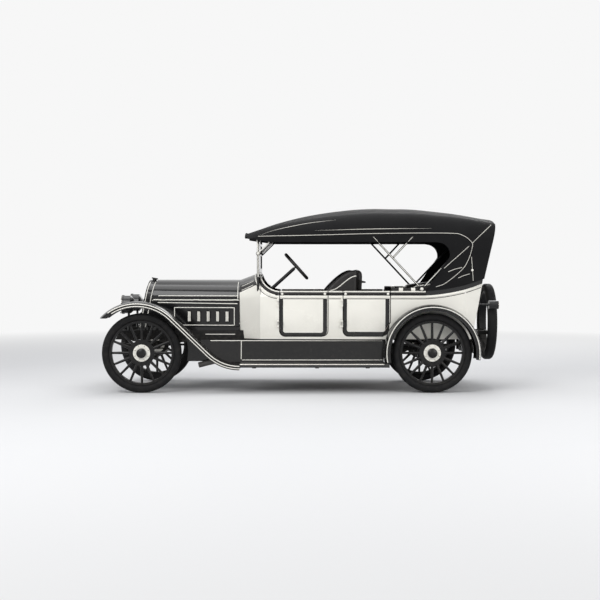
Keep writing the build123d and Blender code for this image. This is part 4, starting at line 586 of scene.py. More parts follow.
level = value_of(tree, "SUBTRACT", parts.outputs["Z"], value_of(tree, "MULTIPLY", swept, steepness))
blacked.append(value_of(
    tree, "MULTIPLY", value_of(tree, "GREATER_THAN", level, RIM_Z - COAMING_DROP - COAMING_HALF),
    value_of(tree, "GREATER_THAN", parts.outputs["X"], COAMING_X[1]),
))
from_centre = add(tree, "ShaderNodeVectorMath", {0: place, 1: BODY_CENTRE}, operation="SUBTRACT").outputs[0]
outward = add(
    tree, "ShaderNodeVectorMath", {0: from_centre, 1: coords.outputs["Normal"]}, operation="DOT_PRODUCT"
).outputs["Value"]
dark = value_of(tree, "LESS_THAN", outward, FACES_INWARD)
for mask in blacked:
    dark = value_of(tree, "MAXIMUM", dark, mask)
paint_over(body_ivory, dark, IVORY, BLACK)
DOORS = {"front": (-0.246, 0.306), "rear": (0.489, 1.028)}
dress(
    body_ivory, "cowl", "body_tub",
    *[f"door_{door}_{side}" for door in DOORS for side in ("left", "right")],
)

# Beads along the body's rim and belt are half-round steel mouldings, pinned on and enamelled. The thin black
# bead just under the belt bead is a painted shadow of that moulding.
# The coaming between them is a roll of black hide nailed on over horsehair, as far as the top's pivot.
leather, tree, shader = material("leather")
DARK_HIDE, WORN_HIDE = (0.005, 0.0045, 0.0045), (0.018, 0.016, 0.015)
place = object_place(tree)
pores = add(tree, "ShaderNodeTexVoronoi", {"Vector": place, "Scale": 320.0}).outputs["Distance"]
creases = noise(tree, place, scale=26.0, detail=7.0)
tree.links.new(blend_colour(tree, creases, (*DARK_HIDE, 1), (*WORN_HIDE, 1)), shader.inputs["Base Color"])
tree.links.new(remap(tree, creases, 0.3, 0.7, low=0.34, high=0.55), shader.inputs["Roughness"])
emboss(tree, shader, value_of(tree, "MULTIPLY_ADD", creases, 0.8, pores), 0.25, 0.002)
shader.inputs["Specular IOR Level"].default_value = 0.3
RIM_CURVE, RIM_RADIUS = (-0.248, 1.397), 0.232
RIM_CORNER_Z, RIM_STEP = 1.354, 0.03


def rim(drop, x0, x1):
    """Side-view points that follow the body's rim at a distance below it."""
    line = []
    if x0 < RIM_CURVE[0]:
        radius = RIM_RADIUS + drop
        start = math.degrees(math.asin((RIM_CURVE[1] - RIM_CORNER_Z) / radius))
        line = [point for point in arc(RIM_CURVE, radius, 270 - start, 180) if point[0] <= x1]
        x0 = RIM_CURVE[0]
    count = max(1, int((x1 - x0) / RIM_STEP))
    for index in range(count + 1 if x1 > x0 else 0):
        x = x0 + (x1 - x0) * index / count
        along = max(0.0, (x - SWEEP_X) / SWEEP_LENGTH)
        line.append((x, RIM_Z - drop + SWEEP_RISE * (SWEEP_LEAN * along + (1 - SWEEP_LEAN) * along**2)))
    return line


body_skin = skin("cowl", "body_tub")
DOOR_GAP, HINGE_ROOM, EDGE_ROOM, BODY_ENDS = 0.010, 0.016, 0.003, (-0.60, 2.100)
BODY_RUNS = (
    (BODY_ENDS[0], DOORS["front"][0] - DOOR_GAP - HINGE_ROOM),
    (DOORS["front"][1] + DOOR_GAP + EDGE_ROOM, DOORS["rear"][0] - DOOR_GAP - HINGE_ROOM),
    (DOORS["rear"][1] + DOOR_GAP + EDGE_ROOM, BODY_ENDS[1]),
)
BELT_RADIUS, BELT_SUNK = 0.0105, 0.003
MOULDINGS = (
    # name, distance below the rim, radius, how far its middle stands out, finish, slot, last station
    ("rim_bead", 0.004, 0.0065, -0.004, lining, "ivory_enamel", COAMING_X[1]),
    ("coaming_roll", COAMING_DROP, 0.0200, -0.007, leather, "leather", COAMING_X[1]),
    ("belt_bead", 0.071, BELT_RADIUS, -BELT_SUNK, lining, "ivory_enamel", BODY_ENDS[1]),
    # painted shadow: a thin black bead where the belt moulding's shadow falls
    ("belt_shadow_line", 0.089, 0.0040, -0.001, black_enamel, "black_enamel", BODY_ENDS[1]),
)
for name, drop, radius, out, look, slot, last in MOULDINGS:
    lines = [on_left(body_skin, rim(drop, x0, min(x1, last)), out) for x0, x1 in BODY_RUNS]
    twin_bead(f"{name}_body", lines, radius, look, "chassis")
    for door, (x0, x1) in DOORS.items():
        door_skin = skin(f"door_{door}_left")
        line = on_left(door_skin, rim(drop, x0 + HINGE_ROOM, x1 - EDGE_ROOM), out)
        twin_bead(f"{name}_door_{door}", [line], radius, look, f"door_{door}_{{side}}")
BACK_BELT_HALF, BACK_BELT_Z, BACK_BELT_STEPS, FAR_REAR_X = 0.462, 1.234, 40, 3.0
back_skin, across_back = skin("body_tub"), []
for index in range(BACK_BELT_STEPS + 1):
    y = BACK_BELT_HALF * (2 * index / BACK_BELT_STEPS - 1)
    hit = back_skin.ray_cast(Vector((FAR_REAR_X, y, BACK_BELT_Z)), Vector((-1, 0, 0)))[0]
    across_back.append((hit.x - BELT_SUNK, y, BACK_BELT_Z))
bead("belt_bead_back", [across_back], BELT_RADIUS, lining, "chassis")
DOME_LINE, DOME_LINE_LIFTS, DOME_LINE_RADIUS = ((-0.700, 1.170), (-0.560, 1.234)), (0.0, 0.045), 0.0045
dome_lines = [
    on_left(body_skin, [(x, z + lift) for x, z in straight(*DOME_LINE, 12)]) for lift in DOME_LINE_LIFTS
]
twin_bead("cowl_lining", dome_lines, DOME_LINE_RADIUS, lining, "chassis")

# Running boards are ash planks covered with ribbed rubber matting.
# A nickelled brass strip is screwed along the outer edge to hold the matting down.
BOARD_RUBBER, BOARD_DUST, BOARD_RIB_RATE = (0.010, 0.010, 0.010), (0.10, 0.09, 0.075), 420.0
board_rubber, tree, shader = material("board_rubber")
place = object_place(tree)
across = add(tree, "ShaderNodeSeparateXYZ", {0: place}).outputs["Y"]
ribs = value_of(tree, "SINE", value_of(tree, "MULTIPLY", across, BOARD_RIB_RATE))
dusty = remap(tree, noise(tree, place, scale=14.0, detail=6.0), 0.45, 0.8, high=0.3)
tree.links.new(blend_colour(tree, dusty, (*BOARD_RUBBER, 1), (*BOARD_DUST, 1)), shader.inputs["Base Color"])
shader.inputs["Roughness"].default_value = 0.6
emboss(tree, shader, ribs, 0.5, 0.003)
dress(board_rubber, "running_boards")
NICKEL = (0.78, 0.75, 0.69)
nickel, tree, shader = material("nickel")
shader.inputs["Base Color"].default_value = (*NICKEL, 1)
shader.inputs["Metallic"].default_value = 1.0
worn = noise(tree, object_place(tree), scale=60.0, detail=5.0)
tree.links.new(remap(tree, worn, low=0.12, high=0.34), shader.inputs["Roughness"])
BOARD_EDGE, BOARD_EDGING_RADIUS = [(-0.700, -0.848, 0.334), (0.945, -0.848, 0.334)], 0.0065
twin_bead("board_edging", [BOARD_EDGE], BOARD_EDGING_RADIUS, nickel, "chassis")

# The floor is of varnished ash boards, laid lengthwise and screwed to the frame.
# The windshield frame is ash too, painted black, and holds two panes of plate glass.
LIGHT_ASH, DARK_ASH = (0.22, 0.13, 0.06), (0.10, 0.055, 0.025)
floor_wood, tree, shader = material("floor_wood")
lengthwise = add(
    tree, "ShaderNodeMapping", {"Vector": object_place(tree), "Scale": (0.3, 3.0, 3.0)}
).outputs[0]
wave = add(
    tree, "ShaderNodeTexWave", {"Vector": lengthwise, "Scale": 5.0, "Distortion": 9.0, "Detail": 4.0},
    bands_direction="Z",
).outputs["Fac"]
grain = value_of(tree, "MULTIPLY_ADD", noise(tree, lengthwise, scale=90.0, detail=5.0), 0.4, wave)
tree.links.new(blend_colour(tree, grain, (*DARK_ASH, 1), (*LIGHT_ASH, 1)), shader.inputs["Base Color"])
emboss(tree, shader, grain, 0.08, 0.001)
shader.inputs["Roughness"].default_value = 0.38
shader.inputs["Coat Weight"].default_value = 0.1
dress(floor_wood, "floor")
dress(black_enamel, "windshield_frame")
PLATE_GLASS = (0.96, 0.985, 0.975)
glass, tree, shader = material("glass")
shader.inputs["Base Color"].default_value = (*PLATE_GLASS, 1)
shader.inputs["Roughness"].default_value = 0.02
shader.inputs["IOR"].default_value = 1.5
shader.inputs["Transmission Weight"].default_value = 1.0
dress(glass, "windshield_glass")


# Seats are black hide stuffed with horsehair over coil springs, sewn in upright pleats, with ivory piping.
# Each is made of pads: a side view drawn through the seat, rounded at its ends and pulled in at every pleat.
def smooth_outline(corners, count):
    """Evenly spaced points round a closed outline in side view."""
    closed = corners + corners[:1]
    spans = [math.dist(a, b) for a, b in zip(closed, closed[1:])]
    total, points = sum(spans), []
    for index in range(count):
        left = total * index / count
        for (a, b), span in zip(zip(closed, closed[1:]), spans):
            if left <= span:
                points.append((a[0] + (b[0] - a[0]) * left / span, a[1] + (b[1] - a[1]) * left / span))
                break
            left -= span
    for _ in range(3):
        neighbours = zip(points[-1:] + points[:-1], points, points[1:] + points[:1])
        points = [
            tuple(0.25 * before[k] + 0.5 * here[k] + 0.25 * after[k] for k in (0, 1))
            for before, here, after in neighbours
        ]
    return points


PLEAT_FULLNESS, PAD_CROWN, MOST_TAKEN_IN = 0.6, 0.010, 0.9


def pad(points, faces, corners, y0, y1, rounding, pleats=0, depth=0.0, rings=72, count=64):
    """Adds one stuffed pad to a mesh: an outline swept across the seat with full, rounded ends."""
    shape = smooth_outline(corners, count)
    area = sum(a[0] * b[1] - b[0] * a[1] for a, b in zip(shape, shape[1:] + shape[:1]))
    turn = 1 if area > 0 else -1
    middle = [sum(point[k] for point in shape) / count for k in (0, 1)]
    inward = []
    for index in range(count):
        (ax, az), (bx, bz) = shape[index - 1], shape[(index + 1) % count]
        length = math.dist((ax, az), (bx, bz)) or 1.0
        inward.append((-(bz - az) / length * turn, (bx - ax) / length * turn))
    first = len(points)
    for ring in range(rings + 1):
        share = ring / rings
        y = y0 + (y1 - y0) * (share if pleats else 0.5 - 0.5 * math.cos(math.pi * share))
        edge = min(y - y0, y1 - y) / rounding
        take_in = rounding * (1 - math.sqrt(max(0.0, 1 - max(0.0, 1 - edge) ** 2)))
        if pleats:
            take_in += depth * (1 - abs(math.sin(math.pi * pleats * (y - y0) / (y1 - y0))) ** PLEAT_FULLNESS)
        take_in -= PAD_CROWN * math.sin(math.pi * share)
        for (x, z), (nx, nz) in zip(shape, inward):
            room = MOST_TAKEN_IN * math.dist((x, z), middle)
            points.append((x + nx * min(take_in, room), y, z + nz * min(take_in, room)))
    for ring in range(rings):
        for index in range(count):
            a, b = first + ring * count + index, first + ring * count + (index + 1) % count
            faces.append((a, b, b + count, a + count) if turn < 0 else (a + count, b + count, b, a))
    for ring, flip in ((0, turn > 0), (rings, turn < 0)):
        loop = [first + ring * count + index for index in range(count)]
        centre = len(points)
        points.append((middle[0], y0 if ring == 0 else y1, middle[1]))
        for a, b in zip(loop, loop[1:] + loop[:1]):
            faces.append((a, centre, b) if not flip else (b, centre, a))


def upholstered(name, pads, node):
    """Joins pads into one padded piece that stands for a CAD seat."""
    points, faces = [], []
    for corners, y0, y1, rounding, pleats, depth in pads:
        pad(points, faces, corners, y0, y1, rounding, pleats, depth)
    made = piece(name, points, (), faces)
    for polygon in made.data.polygons:
        polygon.use_smooth = True
    made.data.materials.append(leather)
    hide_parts(node)
    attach(made, "chassis")


def box_outline(x0, x1, z0, z1):
    """Four corners of a plain pad in side view."""
    return [(x0, z0), (x1, z0), (x1, z1), (x0, z1)]


FRONT_HALF, REAR_HALF, REAR_BACK_HALF, SEAT_FILL = 0.518, 0.560, 0.464, 0.8
FRONT_CUSHION, REAR_CUSHION = box_outline(0.152, 0.590, 0.928, 1.043), box_outline(1.272, 1.740, 0.928, 1.043)
FRONT_BACK = [(0.580, 0.728), (0.688, 0.728), (0.712, 1.380), (0.690, 1.408), (0.645, 1.408), (0.616, 1.380)]
FRONT_WING = [
    (0.256, 1.050), (0.636, 1.050), (0.646, 1.398), (0.582, 1.398),
    (0.505, 1.362), (0.420, 1.296), (0.335, 1.212), (0.275, 1.140),
]
REAR_BACK = [(1.742, 0.728), (1.846, 0.728), (1.972, 1.335), (1.935, 1.385), (1.885, 1.378), (1.854, 1.332)]
REAR_WING = [
    (1.296, 1.050), (1.836, 1.050), (1.890, 1.345), (1.780, 1.304),
    (1.660, 1.264), (1.500, 1.240), (1.335, 1.222), (1.295, 1.175),
]
FRONT_WING_WIDTH, REAR_WING_WIDTH = 0.068, 0.136
SEATS = {
    # outline, left end, right end, rounding, pleats, depth of pleats
    "front_seat": [
        (FRONT_CUSHION, -FRONT_HALF, FRONT_HALF, 0.040, 12, 0.010),
        (FRONT_BACK, -FRONT_HALF, FRONT_HALF, 0.045, 12, 0.012),
        (FRONT_WING, -FRONT_HALF, -FRONT_HALF + FRONT_WING_WIDTH, 0.030, 0, 0.0),
        (FRONT_WING, FRONT_HALF - FRONT_WING_WIDTH, FRONT_HALF, 0.030, 0, 0.0),
    ],
    "rear_seat": [
        (REAR_CUSHION, -REAR_HALF, REAR_HALF, 0.040, 13, 0.010),
        (REAR_BACK, -REAR_BACK_HALF, REAR_BACK_HALF, 0.045, 12, 0.012),
        (REAR_WING, -REAR_HALF, -REAR_HALF + REAR_WING_WIDTH, 0.045, 0, 0.0),
        (REAR_WING, REAR_HALF - REAR_WING_WIDTH, REAR_HALF, 0.045, 0, 0.0),
    ],
}
for seat, pads in SEATS.items():
    upholstered(f"{seat}_hide", pads, seat)
piping = painted("seat_piping", IVORY, 0.45, dust=0.05)
PIPING_START, PIPING_RUN, PIPING_RISE, PIPING_RADIUS = (0.340, 1.172), 0.300, 0.168, 0.0055
PIPING_STEPS, PIPING_OUT = 24, 0.001
front_line = []
for index in range(PIPING_STEPS + 1):
    step = index / PIPING_STEPS
    rise = PIPING_RISE * step**2 * (3 - 2 * step)
    front_line.append((PIPING_START[0] + PIPING_RUN * step, PIPING_START[1] + rise))
front_line = on_left(skin("front_seat_hide"), front_line, PIPING_OUT)
REAR_PIPING = ((1.310, 1.208), (1.340, 1.223), (1.500, 1.241), (1.660, 1.266), (1.780, 1.306), (1.850, 1.332))
REAR_PIPING_INSET = 0.016
rear_line = [(x, -REAR_HALF + REAR_PIPING_INSET, z) for x, z in REAR_PIPING]
for name, line in (("front_piping", front_line), ("rear_piping", rear_line)):
    twin_bead(name, [line], PIPING_RADIUS, piping, "chassis")

# Folding top: rubbered canvas cut in panels, sewn, stretched over the bows and tacked to the rim behind.
# It is one sheet from the windshield bow over the roof and down the back, sagging a little between bows.
CANVAS_DARK, CANVAS_FADED, THREAD_SCALE = (0.002, 0.002, 0.0025), (0.008, 0.008, 0.0085), 260.0
canvas, tree, shader = material("top_canvas")
place = object_place(tree)
weather = noise(tree, place, scale=3.5, detail=7.0)
faded = blend_colour(tree, weather, (*CANVAS_DARK, 1), (*CANVAS_FADED, 1))
tree.links.new(faded, shader.inputs["Base Color"])
shader.inputs["Roughness"].default_value = 0.66
shader.inputs["Specular IOR Level"].default_value = 0.12
thread = {"Vector": place, "Scale": THREAD_SCALE, "Distortion": 1.5}
warp, weft = (
    add(tree, "ShaderNodeTexWave", thread, bands_direction=letter).outputs["Fac"] for letter in "XZ"
)
weave = value_of(tree, "MULTIPLY_ADD", weather, 6.0, value_of(tree, "ADD", warp, weft))
emboss(tree, shader, weave, 0.2, 0.002)
TOP_STATIONS = (
    # x, half-width at the shoulder, half-width low down, shoulder, crest
    (-0.640, 0.612, 0.600, 1.772, 1.835),
    (-0.500, 0.622, 0.606, 1.784, 1.892),
    (-0.257, 0.632, 0.612, 1.800, 1.976),
    (0.105, 0.640, 0.620, 1.818, 2.066),
    (0.500, 0.640, 0.620, 1.836, 2.122),
    (0.835, 0.640, 0.620, 1.848, 2.143),
    (1.282, 0.640, 0.612, 1.850, 2.138),
    (1.680, 0.638, 0.596, 1.842, 2.103),
    (1.960, 0.618, 0.560, 1.822, 2.060),
    (2.290, 0.530, 0.430, 1.790, 2.006),
)
BOWS = (-0.640, -0.488, 0.847, 1.270, 1.948, 2.290)
SKIRT_Z, CANVAS_SAG, FULL_SAG_SPAN, CANVAS_THICKNESS = 1.140, 0.004, 0.4, 0.004
BACK_TOP, BACK_FOOT = (2.290, 2.006), (2.136, 1.305)
ROOF_FLAT, ROOF_FLAT_DROP, BEND_OUT, BEND_UP = 0.66, 0.20, 0.925, 0.62
SKIRT_STEPS, BEND_STEPS, CREST_STEPS, ROOF_STEPS, BACK_STEPS = 16, 12, 12, 96, 14


def through(values, x):
    """A smooth curve through (x, value) pairs."""
    index = max(i for i in range(len(values) - 1) if x >= values[i][0] or i == 0)

    def steepness(i):
        (xa, va), (xb, vb) = values[max(0, i - 1)], values[min(len(values) - 1, i + 1)]
        return (vb - va) / (xb - xa)

    (x0, v0), (x1, v1) = values[index], values[index + 1]
    span = x1 - x0
    t = (x - x0) / span
    return (
        (2 * t**3 - 3 * t**2 + 1) * v0 + (t**3 - 2 * t**2 + t) * span * steepness(index)
        + (3 * t**2 - 2 * t**3) * v1 + (t**3 - t**2) * span * steepness(index + 1)
    )


def arc_through(a, b, c, count):
    """Points of the circle from a through b to c, without a."""
    (ax, ay), (bx, by), (cx, cy) = a, b, c
    d = 2 * (ax * (by - cy) + bx * (cy - ay) + cx * (ay - by))
    aa, bb, cc = ax**2 + ay**2, bx**2 + by**2, cx**2 + cy**2
    ux = (aa * (by - cy) + bb * (cy - ay) + cc * (ay - by)) / d
    uy = (aa * (cx - bx) + bb * (ax - cx) + cc * (bx - ax)) / d
    start, end = (math.atan2(y - uy, x - ux) for x, y in (a, c))
    if start > 0 and end < -math.pi / 2:
        end += 2 * math.pi
    radius = math.dist(a, (ux, uy))
    turns = [start + (end - start) * index / count for index in range(1, count + 1)]
    return [(ux + radius * math.cos(turn), uy + radius * math.sin(turn)) for turn in turns]


def roof_section(x):
    """Cross-section of the canvas at a station, from the left skirt over the crest to the right one."""
    half, low, shoulder, crest = (
        through([(row[0], row[column]) for row in TOP_STATIONS], x) for column in (1, 2, 3, 4)
    )
    flat, flat_z = ROOF_FLAT * half, crest - ROOF_FLAT_DROP * (crest - shoulder)
    bend = (BEND_OUT * half, shoulder + BEND_UP * (flat_z - shoulder))
    side = straight((low, SKIRT_Z), (half, shoulder), SKIRT_STEPS)
    side += arc_through((half, shoulder), bend, (flat, flat_z), BEND_STEPS)
    side += arc_through((flat, flat_z), (0, crest), (-flat, flat_z), 2 * CREST_STEPS)[:CREST_STEPS]
    sag = 0.0
    for x0, x1 in zip(BOWS, BOWS[1:]):
        if x0 <= x <= x1:
            most = CANVAS_SAG * min(1.0, (x1 - x0) / FULL_SAG_SPAN)
            sag = most * math.sin(math.pi * (x - x0) / (x1 - x0)) ** 2
    side = [(y, z - sag * max(0.0, (z - shoulder) / (crest - shoulder))) for y, z in side]
    return [(-y, z) for y, z in side] + [(y, z) for y, z in reversed(side[:-1])]


lean = (BACK_TOP[0] - BACK_FOOT[0]) / (BACK_TOP[1] - BACK_FOOT[1])


def on_back(z):
    """Where the back panel stands at a height."""
    return BACK_FOOT[0] + lean * (z - BACK_FOOT[1])


stations = [BOWS[0] + (BOWS[-1] - BOWS[0]) * index / ROOF_STEPS for index in range(ROOF_STEPS + 1)]
rows = [[(min(x, on_back(z)), y, z) for y, z in roof_section(x)] for x in stations]
end = roof_section(BACK_TOP[0])
width = len(end)
for index in range(1, BACK_STEPS):
    share = 1 - index / BACK_STEPS
    shrunk = [(y * share, SKIRT_Z + (z - SKIRT_Z) * share) for y, z in end]
    rows.append([(on_back(z), y, z) for y, z in shrunk])
faces = []
for row in range(len(rows) - 1):
    for column in range(width - 1):
        a = row * width + column
        faces.append((a, a + width, a + width + 1, a + 1))
canopy = piece("canvas_top", [point for row in rows for point in row], (), faces)
CORNER_X, CORNER_Z = 2.10, 1.2
shape = bmesh.new()
shape.from_mesh(canopy.data)
corner = [vertex for vertex in shape.verts if vertex.co.x > CORNER_X and vertex.co.z > CORNER_Z]
bmesh.ops.smooth_vert(shape, verts=corner, factor=0.5, use_axis_x=True, use_axis_y=True, use_axis_z=True)
bmesh.ops.recalc_face_normals(shape, faces=shape.faces)
shape.to_mesh(canopy.data)
shape.free()
canopy.data.materials.append(canvas)
CUT_HALF = 1.2


def cutter(name, line):
    """A prism right across the car, drawn in side view, to cut with."""
    count = len(line)
    ends = [(x, y, z) for y in (-CUT_HALF, CUT_HALF) for x, z in line]
    sides = [(i, (i + 1) % count, count + (i + 1) % count, count + i) for i in range(count)]
    made = piece(name, ends, (), sides + [tuple(reversed(range(count))), tuple(range(count, 2 * count))])
    tidy = bmesh.new()
    tidy.from_mesh(made.data)
    bmesh.ops.recalc_face_normals(tidy, faces=tidy.faces)
    tidy.to_mesh(made.data)
    tidy.free()
    return made


VALANCE_Z, FRONT_EDGE_Z, VALANCE_X = 1.730, 1.774, (-0.340, 1.560)
QUARTER_BEND, QUARTER_SIDE, QUARTER_FOOT = (1.688, 1.672), (1.716, 1.560), (1.456, 1.190)
PAST_FRONT_X, PAST_REAR_X, PAST_FOOT_Z = -0.90, 2.60, 1.0
RIM_ROOM, RIM_SPAN, PAST_RIM_Z, PAST_CORNER_Z = 0.0012, (-0.247, 2.128), 0.9, 1.400
quarter_top = (VALANCE_X[1], VALANCE_Z)
quarter = [quarter_top] + arc_through(quarter_top, QUARTER_BEND, QUARTER_SIDE, 12)
opening = [
    (PAST_FRONT_X, FRONT_EDGE_Z), (BOWS[0], FRONT_EDGE_Z), (VALANCE_X[0], VALANCE_Z), *quarter, QUARTER_FOOT,
    (QUARTER_FOOT[0], PAST_FOOT_Z), (PAST_FRONT_X, PAST_FOOT_Z),
]
rim_cut = [
    (PAST_FRONT_X, PAST_RIM_Z), *[(x, z + RIM_ROOM) for x, z in rim(0.0, *RIM_SPAN)],
    (PAST_REAR_X, PAST_CORNER_Z), (PAST_REAR_X, PAST_RIM_Z),
]
thick = canopy.modifiers.new("thickness", "SOLIDIFY")
thick.thickness = CANVAS_THICKNESS
thick.offset = -1.0
for name, line in (("side_opening", opening), ("rim_cut", rim_cut)):
    knife = cutter(name, line)
    cut = canopy.modifiers.new(name, "BOOLEAN")
    cut.operation = "DIFFERENCE"
    cut.object = knife
    cut.solver = "EXACT"
settle(canopy)
for name in ("side_opening", "rim_cut"):
    bpy.data.objects.remove(bpy.data.objects[name])
shape = bmesh.new()
shape.from_mesh(canopy.data)
for face in shape.faces:
    face.smooth = True
SHARP_ANGLE = math.radians(38)
for edge in shape.edges:
    edge.smooth = edge.calc_face_angle(0.0) < SHARP_ANGLE
shape.to_mesh(canopy.data)
area = sum(face.calc_area() for face in shape.faces) / 2
shape.free()
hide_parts("top_canopy")

# Seams are felled and bound with pale tape. The pale darts over the shoulders run out to nothing; they are
# partly darts and partly painted highlights along the shoulder folds.
# The edge of the side openings is hemmed, and the front edge is rolled round a cord and sewn.
PALE_TAPE_AND_HIGHLIGHT = (0.62, 0.60, 0.54)
seam_and_highlight_tape = painted("seam_and_highlight_tape", PALE_TAPE_AND_HIGHLIGHT, 0.7, dust=0.05)
canvas_skin = skin("canvas_top")


def flowing(points, count=40):
    """A smooth line through a few places in side view."""
    last = len(points) - 1
    tracks = [[(index, point[k]) for index, point in enumerate(points)] for k in (0, 1)]
    steps = [last * index / count for index in range(count + 1)]
    return [tuple(through(track, step) for track in tracks) for step in steps]


# Painted highlights: pale tapering lines along the shoulder folds, laid as darts.
DART_HIGHLIGHTS = (
    ((-0.480, 1.812), (-0.306, 1.872), (0.060, 1.948), (0.406, 1.992)),
    ((0.158, 1.866), (0.830, 1.884), (1.505, 1.890)),
)
SEAMS = (
    (
        (-0.500, 1.800), (0.100, 1.812), (0.900, 1.832), (1.676, 1.836),
        (1.862, 1.812), (1.975, 1.725), (1.975, 1.648),
    ),
    ((1.975, 1.648), (1.935, 1.530), (1.862, 1.415), (1.676, 1.262), (1.560, 1.215)),
    ((1.980, 1.722), (2.090, 1.828), (2.215, 1.936)),
    ((1.938, 1.684), (1.652, 1.430)),
    ((1.700, 1.390), (1.780, 1.420), (1.862, 1.440)),
    ((1.820, 1.318), (1.890, 1.348), (1.955, 1.366)),
    ((1.972, 1.560), (1.985, 1.420), (1.998, 1.285)),
    ((0.884, 1.737), (0.833, 1.792)),
    ((1.233, 1.737), (1.284, 1.792)),
)
dart_highlights = [on_left(canvas_skin, flowing(line)) for line in DART_HIGHLIGHTS]
seams = [on_left(canvas_skin, flowing(line)) for line in SEAMS]
HEM_IN, HEM_RADIUS, TAPE_RADIUS, DART_HIGHLIGHT_TAPER, FRONT_ROLL_RADIUS = 0.006, 0.0050, 0.0034, 0.9, 0.014
HEM_FRONT_X, HEM_REAR_X, HEM_SIDE, HEM_FOOT = -0.330, 1.556, (1.722, 1.556), (1.466, 1.192)
hem = straight((HEM_FRONT_X, VALANCE_Z + HEM_IN), (HEM_REAR_X, VALANCE_Z + HEM_IN), 40)
hem += [(x + HEM_IN, z) for x, z in quarter[1:]] + straight(HEM_SIDE, HEM_FOOT, 20)
hems = [on_left(canvas_skin, hem)]
SEWN = (
    # name, lines, radius, finish, taper
    ("hem", hems, HEM_RADIUS, canvas, 0.0),
    ("seam", seams, TAPE_RADIUS, seam_and_highlight_tape, 0.0),
    ("dart_highlight", dart_highlights, TAPE_RADIUS, seam_and_highlight_tape, DART_HIGHLIGHT_TAPER),
)
for side, sign in (("left", 1), ("right", -1)):
    for name, laid, radius, look, taper in SEWN:
        lines = [[(x, sign * y, z) for x, y, z in line] for line in laid]
        bead(f"canvas_{name}_{side}", lines, radius, look, "chassis", taper)
front_edge = [(BOWS[0], y, z) for y, z in roof_section(BOWS[0]) if z > FRONT_EDGE_Z]
bead("canvas_front_roll", [front_edge], FRONT_ROLL_RADIUS, canvas, "chassis")
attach(canopy, "chassis")

# Back light: a pane of yellowed celluloid, sewn into the back panel of the top.
# A tape is folded over its edge and stitched through.
PANE_HALF, PANE_Z, PANE_CORNER, PANE_OUT, PANE_HEM_RADIUS = (0.260, 0.085), 1.740, 0.040, 0.0015, 0.0045
CORNER_STEPS, YELLOWED = 8, (0.10, 0.09, 0.07)
corners = []
for cy, cz, first in ((1, 1, 0), (-1, 1, 90), (-1, -1, 180), (1, -1, 270)):
    for step in range(CORNER_STEPS + 1):
        turn = math.radians(first + 90 * step / CORNER_STEPS)
        y = cy * (PANE_HALF[0] - PANE_CORNER) + PANE_CORNER * math.cos(turn)
        z = PANE_Z + cz * (PANE_HALF[1] - PANE_CORNER) + PANE_CORNER * math.sin(turn)
        corners.append((on_back(z) + PANE_OUT, y, z))
pane = piece("back_light", corners, (), [tuple(range(len(corners)))])
celluloid, tree, shader = material("celluloid")
shader.inputs["Base Color"].default_value = (*YELLOWED, 1)
shader.inputs["Roughness"].default_value = 0.12
pane.data.materials.append(celluloid)
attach(pane, "chassis")
bead("back_light_hem", [corners + corners[:1]], PANE_HEM_RADIUS, seam_and_highlight_tape, "chassis")

# Top irons are forged steel bars, japanned black with an ivory line, and swing on a turned knob each side.
# Stays and straps of the front bow are drawn down to a knob on the windshield post. The black leather strap,
# laid just below the first stay, is partly a strap and partly a painted shadow of that stay.
iron = painted("japanned_iron", BLACK, 0.3, dust=0.1, shine=0.25)
dress(iron, "top_irons", "steering_column")
studding = bpy.data.node_groups.new("round_studs", "GeometryNodeTree")
for socket, kind in {"Geometry": "Geometry", "Radius": "Float", "Material": "Material"}.items():
    studding.interface.new_socket(socket, in_out="INPUT", socket_type="NodeSocket" + kind)
studding.interface.new_socket("Geometry", in_out="OUTPUT", socket_type="NodeSocketGeometry")
given = studding.nodes.new("NodeGroupInput")
ball = add(
    studding, "GeometryNodeMeshUVSphere", {"Segments": 20, "Rings": 12, "Radius": given.outputs["Radius"]}
).outputs["Mesh"]
ball = add(studding, "GeometryNodeSetShadeSmooth", {"Geometry": ball}).outputs[0]
balls = add(
    studding, "GeometryNodeInstanceOnPoints", {"Points": given.outputs["Geometry"], "Instance": ball}
).outputs[0]
balls = add(studding, "GeometryNodeRealizeInstances", {"Geometry": balls}).outputs[0]
balls = add(
    studding, "GeometryNodeSetMaterial", {"Geometry": balls, "Material": given.outputs["Material"]}
).outputs[0]
studding.links.new(balls, studding.nodes.new("NodeGroupOutput").inputs[0])


def studs(name, places, radius, look, body):
    """Round heads at some places, fixed to a body."""
    made = piece(name, places)
    run_nodes(made, studding, {"Radius": radius, "Material": look})
    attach(made, body)


KNOB, SCREEN_KNOB, QUARTER_KNOB = (1.395, -0.612, 1.189), (-0.503, -0.546, 1.602), (1.983, 1.408)
KNOB_RADIUS, SCREEN_KNOB_RADIUS, QUARTER_KNOB_RADIUS = 0.021, 0.019, 0.015
KNOB_SEAT, KNOB_SEAT_RADIUS, QUARTER_KNOB_OUT = (-0.503, -0.532, 1.602), 0.025, 0.004
COAMING_STUDS, STUD_RADIUS, STUD_OUT = {"front": (-0.222, 0.274), "rear": (0.514, 1.004)}, 0.016, 0.006
quarter_knob = on_left(canvas_skin, [QUARTER_KNOB], QUARTER_KNOB_OUT)[0]
KNOBS = (
    # name, place on the left side, radius, finish, slot
    ("iron_knob", KNOB, KNOB_RADIUS, lining, "ivory_enamel"),
    ("screen_knob", SCREEN_KNOB, SCREEN_KNOB_RADIUS, lining, "ivory_enamel"),
    ("screen_knob_seat", KNOB_SEAT, KNOB_SEAT_RADIUS, black_enamel, "black_enamel"),
    ("quarter_knob", quarter_knob, QUARTER_KNOB_RADIUS, lining, "ivory_enamel"),
)
